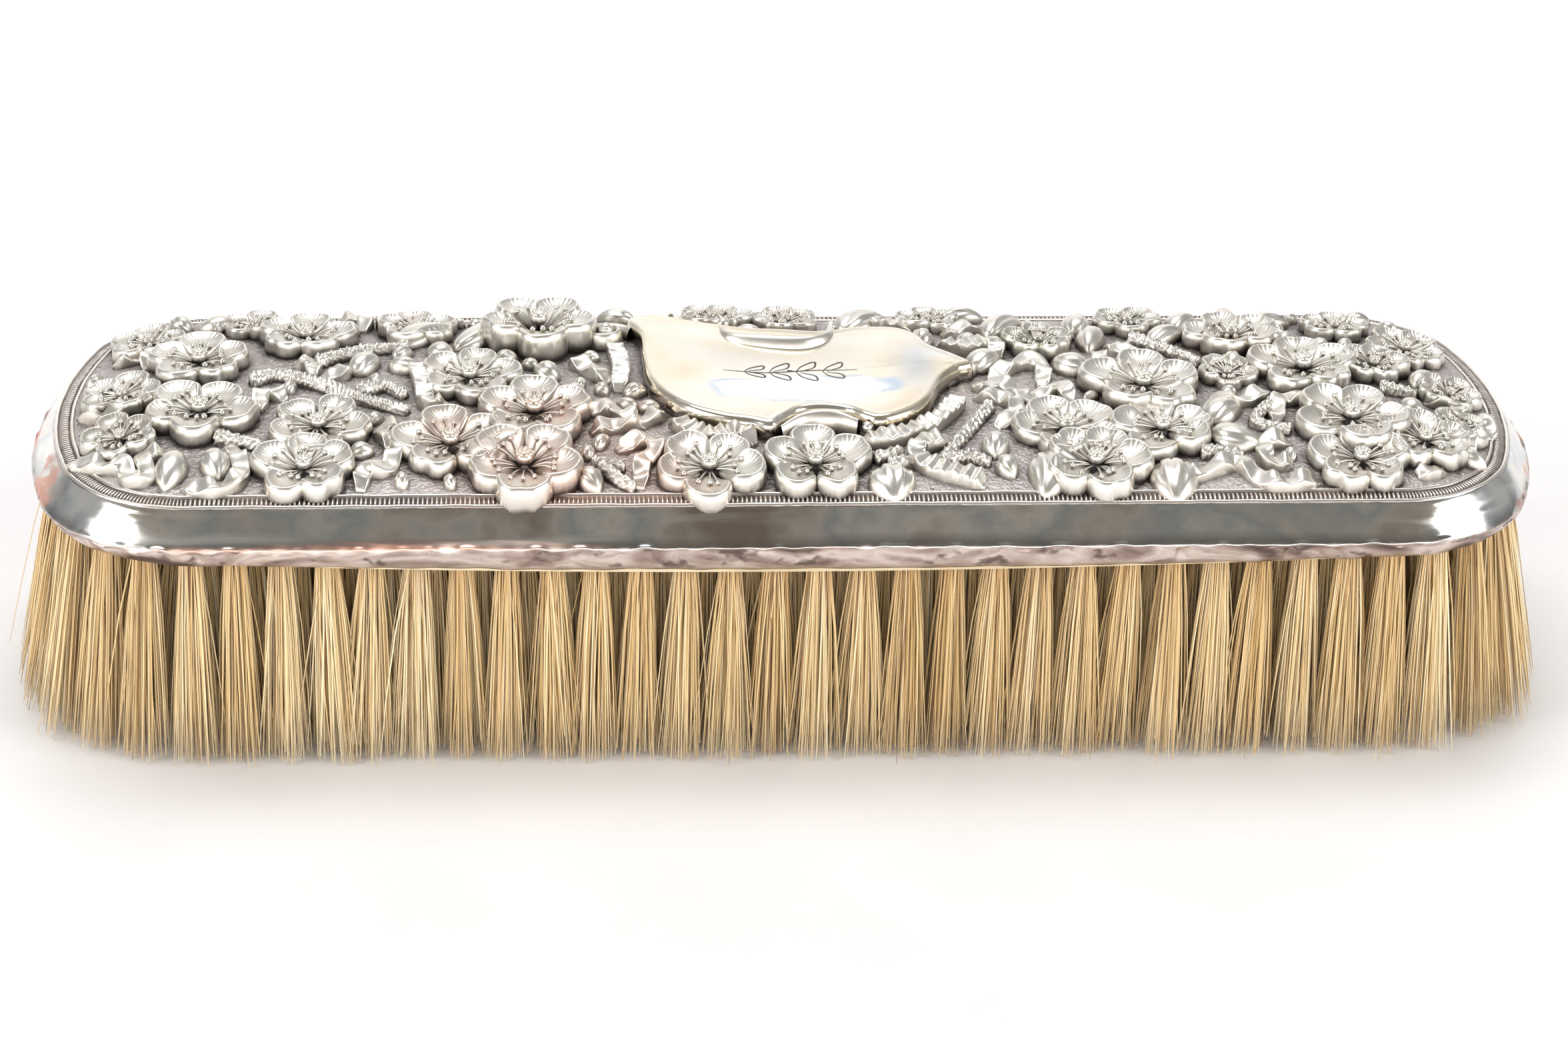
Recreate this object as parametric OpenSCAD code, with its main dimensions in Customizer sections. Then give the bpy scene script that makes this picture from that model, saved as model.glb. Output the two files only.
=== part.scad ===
// Silver-backed clothes brush of a dressing-table set.
// A die-struck silver back is turned over a drawn-work brush: a drilled wooden
// stock, bristle tufts pulled into it by wire, a board over the wires and pitch
// behind the thin silver.
// Origin: on the ground under the centre. +X along the brush, -Y is the front
// long side, +Z up. The trimmed bristle tips lie on z = 0. Millimetres.

/* [Overall] */
// Length over the rim of the silver back
brush_len = 178; // [150:1:215]
// Width over the rim of the silver back
brush_w = 56.5; // [47:0.5:68]
// Free bristle length under the middle of the stock
bristle_free = 25; // [20:0.5:30]

/* [Silver back] */
// Corner radius of the outline at the rim
corner_r = 18; // [15:0.5:22]
// Radius of the gently rounded ends at the rim
end_r = 50; // [40:1:60]
// Thickness of the silver sheet
sheet_t = 0.5; // [0.4:0.1:0.7]
// How far the band slopes in
band_in = 2.8; // [2.2:0.1:3.5]
// Height of the lip turned down and in below the rim
lip_h = 3.1; // [2.5:0.1:4]
// How far the lip turns in
lip_in = 0.9; // [0.5:0.1:1.3]
// How much higher the lower edge of the lip is at the ends than in the middle
lip_rise = 1.7; // [0.8:0.1:2.2]
// Rise of the ornamented field above its border
dome_rise = 2.4; // [1.5:0.1:3.5]
// Width of the reeded border round the field
border_w = 1.9; // [1.4:0.1:2.4]
// Height of the raised line on each side of the reeding
border_line_h = 0.3; // [0.2:0.05:0.5]
// Height of the blossoms above the field
blossom_h = 1.8; // [1:0.1:2.5]
// Height of the plain shield above the field
shield_h = 1; // [0.6:0.1:1.6]

/* [Wooden stock] */
// Thickness of the stock at mid-length
stock_t = 6.2; // [5.4:0.1:7.2]
// How far the stock stands out below the lip at mid-length
stock_proud = 0.7; // [0.3:0.1:1.2]
// How much higher the bristle face is at the ends than in the middle
face_rise = 3; // [1.5:0.1:3.2]
// Thickness of the board over the wires
board_t = 1; // [0.8:0.1:1.4]
// Clearance between the silver and what it holds
fill_gap = 0.05; // [0.02:0.01:0.15]

/* [Bristles] */
// Distance between tufts along a row
tuft_pitch = 5.2; // [5:0.1:6]
// Width of a tuft where it leaves the stock
tuft_root_d = 2.8; // [2.4:0.1:3]
// Gap left between the tips of neighbouring tufts
tip_gap = 0.37; // [0.2:0.01:0.6]
// Distance from the rim to the outer ring of tufts
ring_in = 3.9; // [3.6:0.1:5]
// Straight rows of tufts inside the ring
inner_rows = 9; // [7:2:9]
// Outward lean of the tufts at the very ends
end_lean = 9; // [0:1:12]
// Clearance of a tuft in its hole
hole_gap = 0.08; // [0.04:0.01:0.15]

/* [Drawing wire] */
// Thickness of the wire
wire_t = 0.35; // [0.25:0.05:0.4]
// Width of the loop that pulls a tuft in
loop_w = 1.25; // [1.1:0.05:1.3]
// How far the loop reaches into the tuft
loop_reach = 1; // [0.8:0.1:1.2]
// Wood left over each tuft, which the loop passes through
roof_t = 1.2; // [1:0.1:1.6]
// Clearance round the wire
wire_gap = 0.06; // [0.03:0.01:0.1]

/* [Hidden] */
eps = 0.01;
round_fn = 48;
arc_steps = 6;
bow_steps = 24;

// heights of the seams, counted from the bristle tips
face_z = bristle_free;
lip_z = face_z + stock_proud;
rim_z = lip_z + lip_h;
stock_top = face_z + stock_t;
roof_z = stock_top - roof_t;
board_top = stock_top + board_t;
// the filling runs out to a thin edge between the board and the border of the field
side = sheet_t + fill_gap;
field_z = board_top + fill_gap + side;
band_h = field_z - rim_z;

// rim outline: long straight sides, corner arcs and flatter end arcs
half_len = brush_len / 2;
half_w = brush_w / 2;
end_cx = half_len - end_r;
corner_cy = half_w - corner_r;
corner_cx = end_cx + sqrt(pow(end_r - corner_r, 2) - pow(corner_cy, 2));
corner_a = atan2(corner_cy, corner_cx - end_cx);

// radius of a bow that rises by rise at the ends
function bow_r(rise) = (half_len * half_len + rise * rise) / (2 * rise);
lip_bow_r = bow_r(lip_rise);
face_bow_r = bow_r(face_rise);

// tufts
root_r = tuft_root_d / 2;
hole_r = root_r + hole_gap;
loop_hole_r = norm([loop_w / 2, wire_t / 2]) + wire_gap;
row_pitch = (half_w - ring_in) / ((inner_rows + 1) / 2);
row_end_gap = tuft_pitch - 0.2;
lean_power = 6;
least_lean = 0.3;
border_line_w = 0.4;

// blossoms of the field: place as a percentage of the half length and half width,
// and radius as a percentage of the half width
BLOSSOMS = [
    [-88, 11, 18], [-87, -32, 16], [-78, 42, 19], [-76, -18, 25], [-63, 60, 19], [-61, -32, 21],
    [-63, -64, 23], [-44, -46, 23], [-35, -67, 27], [-40, 11, 21], [-33, -25, 25], [-34, 60, 23],
    [-11, -69, 21], [2, -67, 21], [37, -67, 21], [36, -35, 21], [48, 4, 27], [47, -46, 23],
    [36, 53, 18], [62, 53, 23], [72, 21, 25], [72, -60, 21], [74, -30, 23], [83, -35, 21], [87, 35, 19],
];
// corners of the plain shield, in the same percentages
SHIELD = [
    [-21, 50], [-22, 14], [-18, -21], [-9, -39], [-1, -46], [9, -39], [19, -21], [25, 14],
    [20, 35], [19, 60], [8, 60], [6, 46], [-7, 46], [-8, 64], [-16, 64],
];
function placed(p) = [p[0] * half_len / 100, p[1] * half_w / 100];

silver = "#c9c4ba";
pitch = "#3a3230";
board = "#a47b4f";
wood = "#9c6b3f";
bristle = "#e0c28a";
brass_wire = "#b9964a";

// ---------- outline ----------

function arc(cx, cy, r, a0, a1, n) =
    [for (i = [0:n]) let (a = a0 + (a1 - a0) * i / n) [cx + r * cos(a), cy + r * sin(a)]];
function mirrored(q) = concat(
    q,
    [for (i = [len(q) - 1:-1:0]) [-q[i].x, q[i].y]],
    [for (p = q) [-p.x, -p.y]],
    [for (i = [len(q) - 1:-1:0]) [q[i].x, -q[i].y]]
);
// rim outline moved inwards by d, with the corner kept round
function outline(d) =
    let (rc = max(corner_r - d, 2), re = end_r - d, cy = half_w - d - rc)
    let (cx = end_cx + sqrt(pow(re - rc, 2) - pow(cy, 2)), a = atan2(cy, cx - end_cx))
    mirrored(concat(
        arc(end_cx, 0, re, a / arc_steps, a, arc_steps - 1),
        arc(cx, cy, rc, a + (90 - a) / arc_steps, 90, arc_steps - 1)));

// inward slope of the silver at height z, from the lip to the edge of the field
function slope_in(z) =
    z < rim_z ? lip_in * (rim_z - z) / lip_h : band_in * (z - rim_z) / band_h;
// height of the field at a share s of the way in from its edge
function dome_z(s) = field_z + dome_rise * (1 - pow(1 - s, 2));
dome_steps = [0.1, 0.25, 0.45, 0.7];
dome_reach = 20;
function dome_levels(less) =
    [for (s = dome_steps) [dome_z(s) - less, band_in + less + s * dome_reach]];
function share_in(x, y) = let (fx = half_len - band_in, fy = half_w - band_in)
    max(0, min(1, min(fx - abs(x), fy - abs(y)) / dome_reach));

// convex solid through a stack of outlines, each [height, distance in from the rim]
module stack(levels) {
    hull()
        for (l = levels)
            translate([0, 0, l[0]]) linear_extrude(eps) polygon(outline(l[1]));
}

// height at x of a surface bowed lengthwise with radius r, whose lowest line is at z
function bow_z(x, z, r) = z + r - sqrt(r * r - x * x);
// everything above that surface
module above_bow(z, r) {
    reach = half_len + 5;
    top = field_z + 10;
    low = [for (i = [0:bow_steps]) let (x = reach * (2 * i / bow_steps - 1)) [x, bow_z(x, z, r)]];
    rotate([90, 0, 0]) linear_extrude(2 * brush_w, center = true)
        polygon(concat(low, [[reach, top], [-reach, top]]));
}

// ---------- silver ----------

module silver_body() {
    intersection() {
        stack(concat(
            [[lip_z - 1, slope_in(lip_z - 1)], [rim_z, 0], [field_z, band_in]], dome_levels(0)));
        above_bow(lip_z, lip_bow_r);
    }
}

module silver_hollow() {
    top = field_z - sheet_t;
    stack(concat([[lip_z - 2, slope_in(lip_z - 2) + sheet_t], [rim_z, sheet_t],
        [top, slope_in(top) + sheet_t]], dome_levels(sheet_t)));
}

// raised line along the border, at a distance in from the rim
module border_line(at) {
    top = dome_z((at - band_in) / dome_reach) + border_line_h;
    translate([0, 0, field_z - sheet_t / 2]) linear_extrude(top - field_z + sheet_t / 2) difference() {
        polygon(outline(at));
        polygon(outline(at + border_line_w));
    }
}

module blossom(b) {
    at = placed(b);
    size = b[2] * half_w / 100;
    rise = dome_z(share_in(at.x, at.y)) + blossom_h - field_z;
    translate([at.x, at.y, field_z - sheet_t / 2]) {
        linear_extrude(rise + sheet_t / 2) {
            for (k = [0:4])
                rotate(72 * k + 10 * b[0]) translate([size * 0.5, 0]) circle(size * 0.36, $fn = round_fn);
            circle(size * 0.3, $fn = round_fn);
        }
        cylinder(r = size * 0.16, h = rise + sheet_t, $fn = round_fn);
    }
}

module shield() {
    translate([0, 0, field_z]) linear_extrude(dome_rise + shield_h) polygon([for (p = SHIELD) placed(p)]);
}

module silver_shell() {
    color(silver) difference() {
        union() {
            silver_body();
            border_line(band_in);
            border_line(band_in + border_w);
            shield();
            for (b = BLOSSOMS) blossom(b);
        }
        silver_hollow();
    }
}

// ---------- filling, board and stock ----------

module pitch_filling() {
    top = field_z - side;
    color(pitch) stack(concat(
        [[board_top, slope_in(board_top) + side], [top, slope_in(top) + side]], dome_levels(side)));
}

module wire_channels() {
    depth = wire_t + wire_gap;
    half = wire_t / 2 + wire_gap;
    for (i = [1:inner_rows])
        translate([0, row_y(i), stock_top])
            cube([2 * (row_reach(row_y(i)) + loop_w), 2 * half, 2 * depth], center = true);
    translate([0, 0, stock_top - depth]) linear_extrude(2 * depth) difference() {
        polygon(outline(ring_in - half - 0.1));
        polygon(outline(ring_in + half + pow(ring_pitch, 2) / (8 * ring_rc)));
    }
}

module cover_board() {
    color(board) difference() {
        stack([[stock_top, slope_in(stock_top) + side], [board_top - eps, slope_in(board_top) + side]]);
        wire_channels();
    }
}

// wide hole for the tuft from the bristle face, and a narrow one for the wire from the back
module tuft_hole(x, y) {
    deep = stock_t + 1;
    at_hole(x, y) translate([0, 0, -deep]) cylinder(r = hole_r, h = deep, $fn = round_fn);
    translate([x, y, roof_z - root_r / 2]) cylinder(r = loop_hole_r, h = deep, $fn = round_fn);
}

module bristle_stock() {
    color(wood) difference() {
        intersection() {
            stack([
                [face_z - 1, slope_in(face_z - 1) + side], [rim_z, side],
                [stock_top - eps, slope_in(stock_top) + side],
            ]);
            above_bow(face_z, face_bow_r);
        }
        for (p = concat(ring_places(), [for (i = [1:inner_rows]) each row_places(i)]))
            tuft_hole(p.x, p.y);
    }
}

// ---------- places of the tufts ----------

// the ring's own outline, a quarter at a time from the middle of the end to the middle of the side
ring_re = end_r - ring_in;
ring_rc = corner_r - ring_in;
end_arc = ring_re * corner_a * PI / 180;
corner_arc = ring_rc * (90 - corner_a) * PI / 180;
quarter = end_arc + corner_arc + corner_cx;
ring_quarter_count = round(quarter / tuft_pitch);
ring_pitch = quarter / ring_quarter_count;

// width that the tips can have: a little less than the closest spacing
tuft_tip_d = min(row_pitch, row_end_gap, ring_pitch) - tip_gap;

// point of an arc of the ring and the direction of the ring there
function ring_arc(cx, cy, r, a) = [cx + r * cos(a), cy + r * sin(a), a + 90];
// the same at distance s from the middle of the end
function ring_point(s) =
    s < end_arc ? ring_arc(end_cx, 0, ring_re, s / ring_re * 180 / PI)
    : s < end_arc + corner_arc ?
        ring_arc(corner_cx, corner_cy, ring_rc, corner_a + (s - end_arc) / ring_rc * 180 / PI)
    : [corner_cx - (s - end_arc - corner_arc), half_w - ring_in, 180];
// the i-th place, going round from the middle of the +X end
function ring_at(i) =
    let (n = ring_quarter_count, q = floor(i / n) % 4, k = i % n)
    let (p = ring_point((q % 2 == 0 ? k + 0.5 : n - k - 0.5) * ring_pitch))
    q == 0 ? p : q == 1 ? [-p[0], p[1], -p[2]]
    : q == 2 ? [-p[0], -p[1], p[2] + 180] : [p[0], -p[1], 180 - p[2]];
function ring_places() = [for (i = [0:4 * ring_quarter_count - 1]) ring_at(i)];

function row_y(i) = (i - (inner_rows + 1) / 2) * row_pitch;
// how far a straight row reaches before it meets the ring
function row_reach(y) =
    let (d = ring_in + row_end_gap, re = end_r - d, rc = corner_r - d)
    abs(y) <= re * sin(corner_a) ? end_cx + sqrt(re * re - y * y)
    : corner_cx + sqrt(max(0, rc * rc - pow(abs(y) - corner_cy, 2)));
// rows are set half a pitch from their neighbours
function row_shift(i) = i % 2 == 1 ? 0 : 0.5;
function row_places(i) =
    let (y = row_y(i), s = row_shift(i), n = floor(row_reach(y) / tuft_pitch - s))
    [for (k = [-n - 2 * s:n]) [(k + s) * tuft_pitch, y, 0]];

// ---------- tufts and wire ----------

// only the tufts near the ends lean, more and more towards the very end
function lean_at(x) = let (lean = end_lean * pow(abs(x) / (half_len - ring_in), lean_power))
    lean < least_lean ? 0 : -sign(x) * lean;

// U-shaped loop of wire, its two legs side by side along X, with a gap all round
module wire_loop(gap) {
    out = loop_w / 2 + gap;
    in = loop_w / 2 - wire_t - gap;
    foot = roof_z - loop_reach;
    top = stock_top + wire_t;
    translate([0, wire_t / 2 + gap, 0]) rotate([90, 0, 0]) linear_extrude(wire_t + 2 * gap)
        polygon([[-out, top], [-out, foot - gap], [out, foot - gap], [out, top],
            [in, top], [in, foot + wire_t + gap], [-in, foot + wire_t + gap], [-in, top]]);
}

// carries what is drawn along Z to the hole at x, y: its roof at the right height, leaning as the tuft does
module at_hole(x, y) {
    translate([x, y, roof_z]) rotate([0, lean_at(x), 0]) children();
}

module tuft(x, y, turn) {
    lean = lean_at(x);
    tip_r = tuft_tip_d / 2;
    length = (roof_z - tip_r * abs(sin(lean))) / cos(lean);
    root = (roof_z - bow_z(x, face_z, face_bow_r)) / cos(lean);
    difference() {
        at_hole(x, y) rotate_extrude($fn = round_fn)
            polygon([
                [0, -length], [tip_r, -length], [root_r, -root], [root_r, -hole_gap], [0, -hole_gap],
            ]);
        translate([x, y, 0]) rotate(turn) wire_loop(wire_gap);
    }
}

module tufts_ring() {
    color(bristle) for (p = ring_places()) tuft(p[0], p[1], p[2]);
}

module tufts_row(i) {
    color(bristle) for (p = row_places(i)) tuft(p[0], p[1], 0);
}

// one strand, seen from the side: over the stock, and down and up through each hole
module draw_wire_row(i) {
    xs = [for (p = row_places(i)) p.x];
    out = loop_w / 2;
    in = out - wire_t;
    foot = roof_z - loop_reach;
    top = stock_top + wire_t;
    under = [for (x = xs)
        each [[x - out, stock_top], [x - out, foot], [x + out, foot], [x + out, stock_top]]];
    over = [for (k = [len(xs) - 1:-1:0]) let (x = xs[k])
        each [[x + in, top], [x + in, foot + wire_t], [x - in, foot + wire_t], [x - in, top]]];
    color(brass_wire) translate([0, row_y(i) + wire_t / 2, 0]) rotate([90, 0, 0]) linear_extrude(wire_t)
        polygon(concat([[xs[0] - out, top]], under, [[xs[len(xs) - 1] + out, top]], over));
}

// the ring's wire: a loop at every tuft and a strand from each to the next
module draw_wire_ring() {
    leg = (loop_w - wire_t) / 2;
    function heading(p) = [cos(p[2]), sin(p[2])];
    color(brass_wire) for (i = [0:4 * ring_quarter_count - 1]) {
        p = ring_at(i);
        q = ring_at(i + 1);
        a = [p[0], p[1]] + leg * heading(p);
        d = [q[0], q[1]] - leg * heading(q) - a;
        translate([p[0], p[1], 0]) rotate(p[2]) wire_loop(0);
        translate([a.x, a.y, stock_top + wire_t / 2]) rotate([0, 90, atan2(d.y, d.x)])
            cylinder(r = wire_t * 0.45, h = norm(d), $fn = round_fn / 2);
    }
}

silver_shell();
pitch_filling();
cover_board();
bristle_stock();
tufts_ring();
draw_wire_ring();
for (i = [1:inner_rows]) {
    tufts_row(i);
    draw_wire_row(i);
}
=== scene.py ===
"""Looks of the silver-backed clothes brush: relief over the CAD shell, bristles over the CAD tufts."""

import math

import bpy
import numpy as np
from mathutils import Matrix, Vector


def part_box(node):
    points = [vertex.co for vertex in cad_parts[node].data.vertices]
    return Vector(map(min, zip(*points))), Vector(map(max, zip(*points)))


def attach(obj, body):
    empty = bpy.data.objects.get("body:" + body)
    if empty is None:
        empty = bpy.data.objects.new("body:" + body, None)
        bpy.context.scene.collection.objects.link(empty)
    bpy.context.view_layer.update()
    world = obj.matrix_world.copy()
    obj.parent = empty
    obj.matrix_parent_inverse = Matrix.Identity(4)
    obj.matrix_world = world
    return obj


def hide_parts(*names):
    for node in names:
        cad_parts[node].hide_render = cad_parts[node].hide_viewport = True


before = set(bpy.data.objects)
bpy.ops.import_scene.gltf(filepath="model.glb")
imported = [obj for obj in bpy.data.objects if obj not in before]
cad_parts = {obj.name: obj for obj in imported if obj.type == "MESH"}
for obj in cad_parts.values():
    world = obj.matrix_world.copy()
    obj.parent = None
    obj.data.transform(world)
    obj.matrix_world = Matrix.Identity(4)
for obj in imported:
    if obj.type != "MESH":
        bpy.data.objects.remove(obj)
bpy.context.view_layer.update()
MM = 0.001

# ---------- sizes, in millimetres, tied to the CAD nodes ----------

shell_low, shell_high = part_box("silver_shell")
stock_low, stock_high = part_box("bristle_stock")
HALF_L = shell_high.x / MM
HALF_W = shell_high.y / MM
LIP_Z = shell_low.z / MM
FACE_Z = stock_low.z / MM
STOCK_TOP = stock_high.z / MM
LIP_H = 3.1
LIP_IN = 0.9
LIP_RISE = 1.7
FACE_RISE = 3.0
RIM_Z = LIP_Z + LIP_H
FIELD_Z = STOCK_TOP + 1.6
BAND_IN = 2.8
BAND_H = FIELD_Z - RIM_Z
DOME_RISE = 2.4
DOME_REACH = 20.0
CORNER_R = 18.0
END_R = 50.0
END_X = HALF_L - END_R
CORNER_Y = HALF_W - CORNER_R
CORNER_X = END_X + math.sqrt((END_R - CORNER_R) ** 2 - CORNER_Y**2)
CORNER_A = math.atan2(CORNER_Y, CORNER_X - END_X)
GROUND_EDGE = 5.15
TICK_PITCH = 0.53
TUFT_PITCH = 5.2
RING_IN = 3.9
ROWS = 9
ROW_GAP = TUFT_PITCH - 0.2
ROW_PITCH = (HALF_W - RING_IN) / ((ROWS + 1) / 2)
ROOF_Z = STOCK_TOP - 1.2
END_LEAN = 9.0
ROOT_R = 1.25
TIP_R = 3.5
PER_RING_TUFT = 120
PER_ROW_TUFT = 110
# how far the foot of each ornament is sunk into the ground
SKIRT = 0.15


# ---------- small helpers ----------


def smooth(x):
    x = np.clip(x, 0, 1)
    return x * x * (3 - 2 * x)


def bumps(x, y, size, seed):
    """Smooth random hills about `size` mm apart, roughly from -1 to 1."""
    rng = np.random.default_rng(seed)
    total = np.zeros(np.broadcast(x, y).shape)
    for _ in range(7):
        a = rng.uniform(0, 2 * math.pi)
        f = 2 * math.pi / (size * rng.uniform(0.6, 1.6))
        total += np.sin(f * (x * math.cos(a) + y * math.sin(a)) + rng.uniform(0, 2 * math.pi))
    return total / 3.0


def inset(x, y):
    """Distance in from the rim outline."""
    ax, ay = np.abs(x), np.abs(y)
    side = HALF_W - ay
    end = END_R - np.hypot(ax - END_X, ay)
    corner = CORNER_R - np.hypot(ax - CORNER_X, ay - CORNER_Y)
    at_corner = (ax > CORNER_X) & (ay - CORNER_Y > (ax - CORNER_X) * math.tan(CORNER_A))
    return np.where(at_corner, corner, np.where(ax > CORNER_X, np.minimum(end, side), side))


def dome(d):
    s = np.clip((d - BAND_IN) / DOME_REACH, 0, 1)
    return FIELD_Z + DOME_RISE * (1 - (1 - s) ** 2)


def carrier(x, y):
    """Height that the relief rides at; it stays level past the border."""
    return dome(inset(x, y))


def surface(x, y):
    """Height of the plain metal under the relief, band included."""
    d = inset(x, y)
    return np.where(d < BAND_IN, RIM_Z + np.maximum(d, 0) * BAND_H / BAND_IN, dome(d))


def rim(count):
    """Points round the rim at equal steps, and the outward normals there."""
    end_arc, corner_arc = END_R * CORNER_A, CORNER_R * (math.pi / 2 - CORNER_A)
    quarter = end_arc + corner_arc + CORNER_X
    s = (np.arange(count) + 0.5) * 4 * quarter / count
    q = np.floor(s / quarter).astype(int) % 4
    k = s - np.floor(s / quarter) * quarter
    k = np.where(q % 2 == 0, k, quarter - k)
    a = np.where(k < end_arc, k / END_R, CORNER_A + (k - end_arc) / CORNER_R)
    a = np.minimum(a, math.pi / 2)
    cx = np.where(k < end_arc, END_X, CORNER_X)
    cy = np.where(k < end_arc, 0, CORNER_Y)
    r = np.where(k < end_arc, END_R, CORNER_R)
    x = cx + r * np.cos(a) - np.maximum(k - end_arc - corner_arc, 0)
    y = cy + r * np.sin(a)
    sx = np.where((q == 0) | (q == 3), 1, -1)
    sy = np.where(q < 2, 1, -1)
    return np.stack([x * sx, y * sy], -1), np.stack([np.cos(a) * sx, np.sin(a) * sy], -1)


def curve(points, step=0.25, closed=False):
    """Points at equal steps along a smooth line through the given ones."""
    p = np.array(points, float)
    n = len(p)
    if closed:
        p = np.vstack([p[-1], p, p[0], p[1]])
    else:
        p = np.vstack([2 * p[0] - p[1], p, 2 * p[-1] - p[-2]])
    out = []
    for i in range(n if closed else n - 1):
        a, b, c, d = p[i : i + 4]
        t = np.linspace(0, 1, 25)[:-1, None]
        square = 2 * a - 5 * b + 4 * c - d
        cubic = 3 * b - a - 3 * c + d
        out.append(0.5 * (2 * b + (c - a) * t + square * t**2 + cubic * t**3))
    line = np.vstack(out if closed else [*out, p[-2:-1]])
    if closed:
        line = np.vstack([line, line[:1]])
    s = np.concatenate([[0], np.cumsum(np.hypot(*np.diff(line, axis=0).T))])
    count = max(4, int(s[-1] / step))
    at = np.linspace(0, s[-1], count + 1)
    if closed:
        at = at[:-1]
    return np.stack([np.interp(at, s, line[:, i]) for i in range(2)], -1)


def across(line, closed=False):
    """Unit vectors to the left of the line."""
    t = np.roll(line, -1, 0) - np.roll(line, 1, 0) if closed else np.gradient(line, axis=0)
    t = t / np.maximum(np.hypot(t[:, 0], t[:, 1]), 1e-9)[:, None]
    return np.stack([-t[:, 1], t[:, 0]], -1)


class Pile:
    """Grids of points that become one mesh."""

    def __init__(self):
        self.points = []
        self.quads = []
        self.count = 0

    def grid(self, p, wrap_u=False, wrap_v=False, solid=False):
        """Adds a sheet of points; its faces are turned up, or outwards if it is solid."""
        nu, nv = p.shape[:2]
        idx = np.arange(nu * nv).reshape(nu, nv)
        if wrap_u:
            idx = np.vstack([idx, idx[:1]])
        if wrap_v:
            idx = np.hstack([idx, idx[:, :1]])
        quads = np.stack([idx[:-1, :-1], idx[1:, :-1], idx[1:, 1:], idx[:-1, 1:]], -1).reshape(-1, 4)
        flat = p.reshape(-1, 3)
        a, b, c, d = (flat[quads[:, i]] for i in range(4))
        normal = np.cross(c - a, d - b)
        if solid:
            side = (normal * ((a + c) / 2 - flat.mean(0))).sum()
        else:
            side = normal[:, 2].sum()
        if side < 0:
            quads = quads[:, ::-1]
        self.points.append(flat)
        self.quads.append(quads + self.count)
        self.count += len(flat)

    def all_points(self):
        return np.vstack(self.points)

    def all_faces(self):
        return np.vstack(self.quads)


def piece(name, points, faces, material, attributes=None, replaces=()):
    """A smooth mesh from millimetre points, riding the root body."""
    mesh = bpy.data.meshes.new(name)
    faces = np.asarray(faces)
    mesh.vertices.add(len(points))
    mesh.vertices.foreach_set("co", (np.asarray(points) * MM).astype(np.float32).ravel())
    mesh.loops.add(faces.size)
    mesh.loops.foreach_set("vertex_index", faces.astype(np.int32).ravel())
    mesh.polygons.add(len(faces))
    starts = np.arange(len(faces), dtype=np.int32) * faces.shape[1]
    mesh.polygons.foreach_set("loop_start", starts)
    mesh.polygons.foreach_set("use_smooth", np.ones(len(faces), bool))
    mesh.update(calc_edges=True)
    for key, values in (attributes or {}).items():
        layer = mesh.attributes.new(key, "FLOAT", "POINT")
        layer.data.foreach_set("value", np.asarray(values, np.float32))
    mesh.materials.append(material)
    thing = bpy.data.objects.new(name, mesh)
    bpy.context.scene.collection.objects.link(thing)
    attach(thing, "root")
    if replaces:
        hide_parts(*replaces)
    return thing


# ---------- plain silver: band, lip, border, ground ----------

PLEAT = (-82.0, -19.5)


def make_band():
    """The sloping band, the rounded rim and the lip turned down and in, with the dents of use."""
    base, normal = rim(1500)
    x, y = base[:, 0], base[:, 1]
    low = LIP_Z + LIP_RISE * (x / HALF_L) ** 2 + 0.09 * bumps(x, y, 7, 11)
    rim_z = RIM_Z + 0.15 * bumps(x, y, 5, 17) + 0.1 * bumps(x, y, 2.2, 18)
    soft = 0.09 * bumps(x, y, 24, 12)
    pits = np.maximum(bumps(x, y, 2.6, 15) - 0.85, 0)
    dents = 0.09 * bumps(x, y, 4.5, 13) + 0.045 * bumps(x, y, 1.6, 14) + 0.6 * pits
    pleat = np.exp(-((x - PLEAT[0]) ** 2 + (y - PLEAT[1]) ** 2) / 0.8)
    rows = [(LIP_IN + 0.5, low + 1.6), (LIP_IN + 0.5, low + 0.05), (LIP_IN + 0.3, low - 0.06)]
    rows += [(LIP_IN + 0.1, low - 0.02)]
    for k in (0.98, 0.9, 0.78, 0.64, 0.5, 0.36, 0.22, 0.12):
        lean = LIP_IN * k - 0.16 * math.sin(math.pi * k)
        wear = math.sin(math.pi * min(1, k + 0.15))
        rows.append((lean + dents * wear - 0.25 * pleat * wear, rim_z - k * (rim_z - low)))
    rows += [(0.03 - 0.2 * pleat, rim_z - 0.2), (0.0 + 0.1 * pleat, rim_z), (0.06, rim_z + 0.22)]
    for k in (0.1, 0.2, 0.32, 0.45, 0.58, 0.7, 0.82, 0.91):
        wave = 0.03 * bumps(x, y, 12, 16) * math.sin(math.pi * k)
        rows.append((BAND_IN * k - 0.1 * math.sin(math.pi * k) + wave, RIM_Z + k * BAND_H))
    rows += [(BAND_IN - 0.1, FIELD_Z - 0.1), (BAND_IN + 0.05, FIELD_Z + 0.02)]
    grid = []
    for d, z in rows:
        xy = base - normal * (np.broadcast_to(d, x.shape) + soft)[:, None]
        grid.append(np.column_stack([xy, np.broadcast_to(z, x.shape)]))
    pile = Pile()
    pile.grid(np.array(grid).transpose(1, 0, 2), wrap_u=True, solid=True)
    return pile


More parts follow.
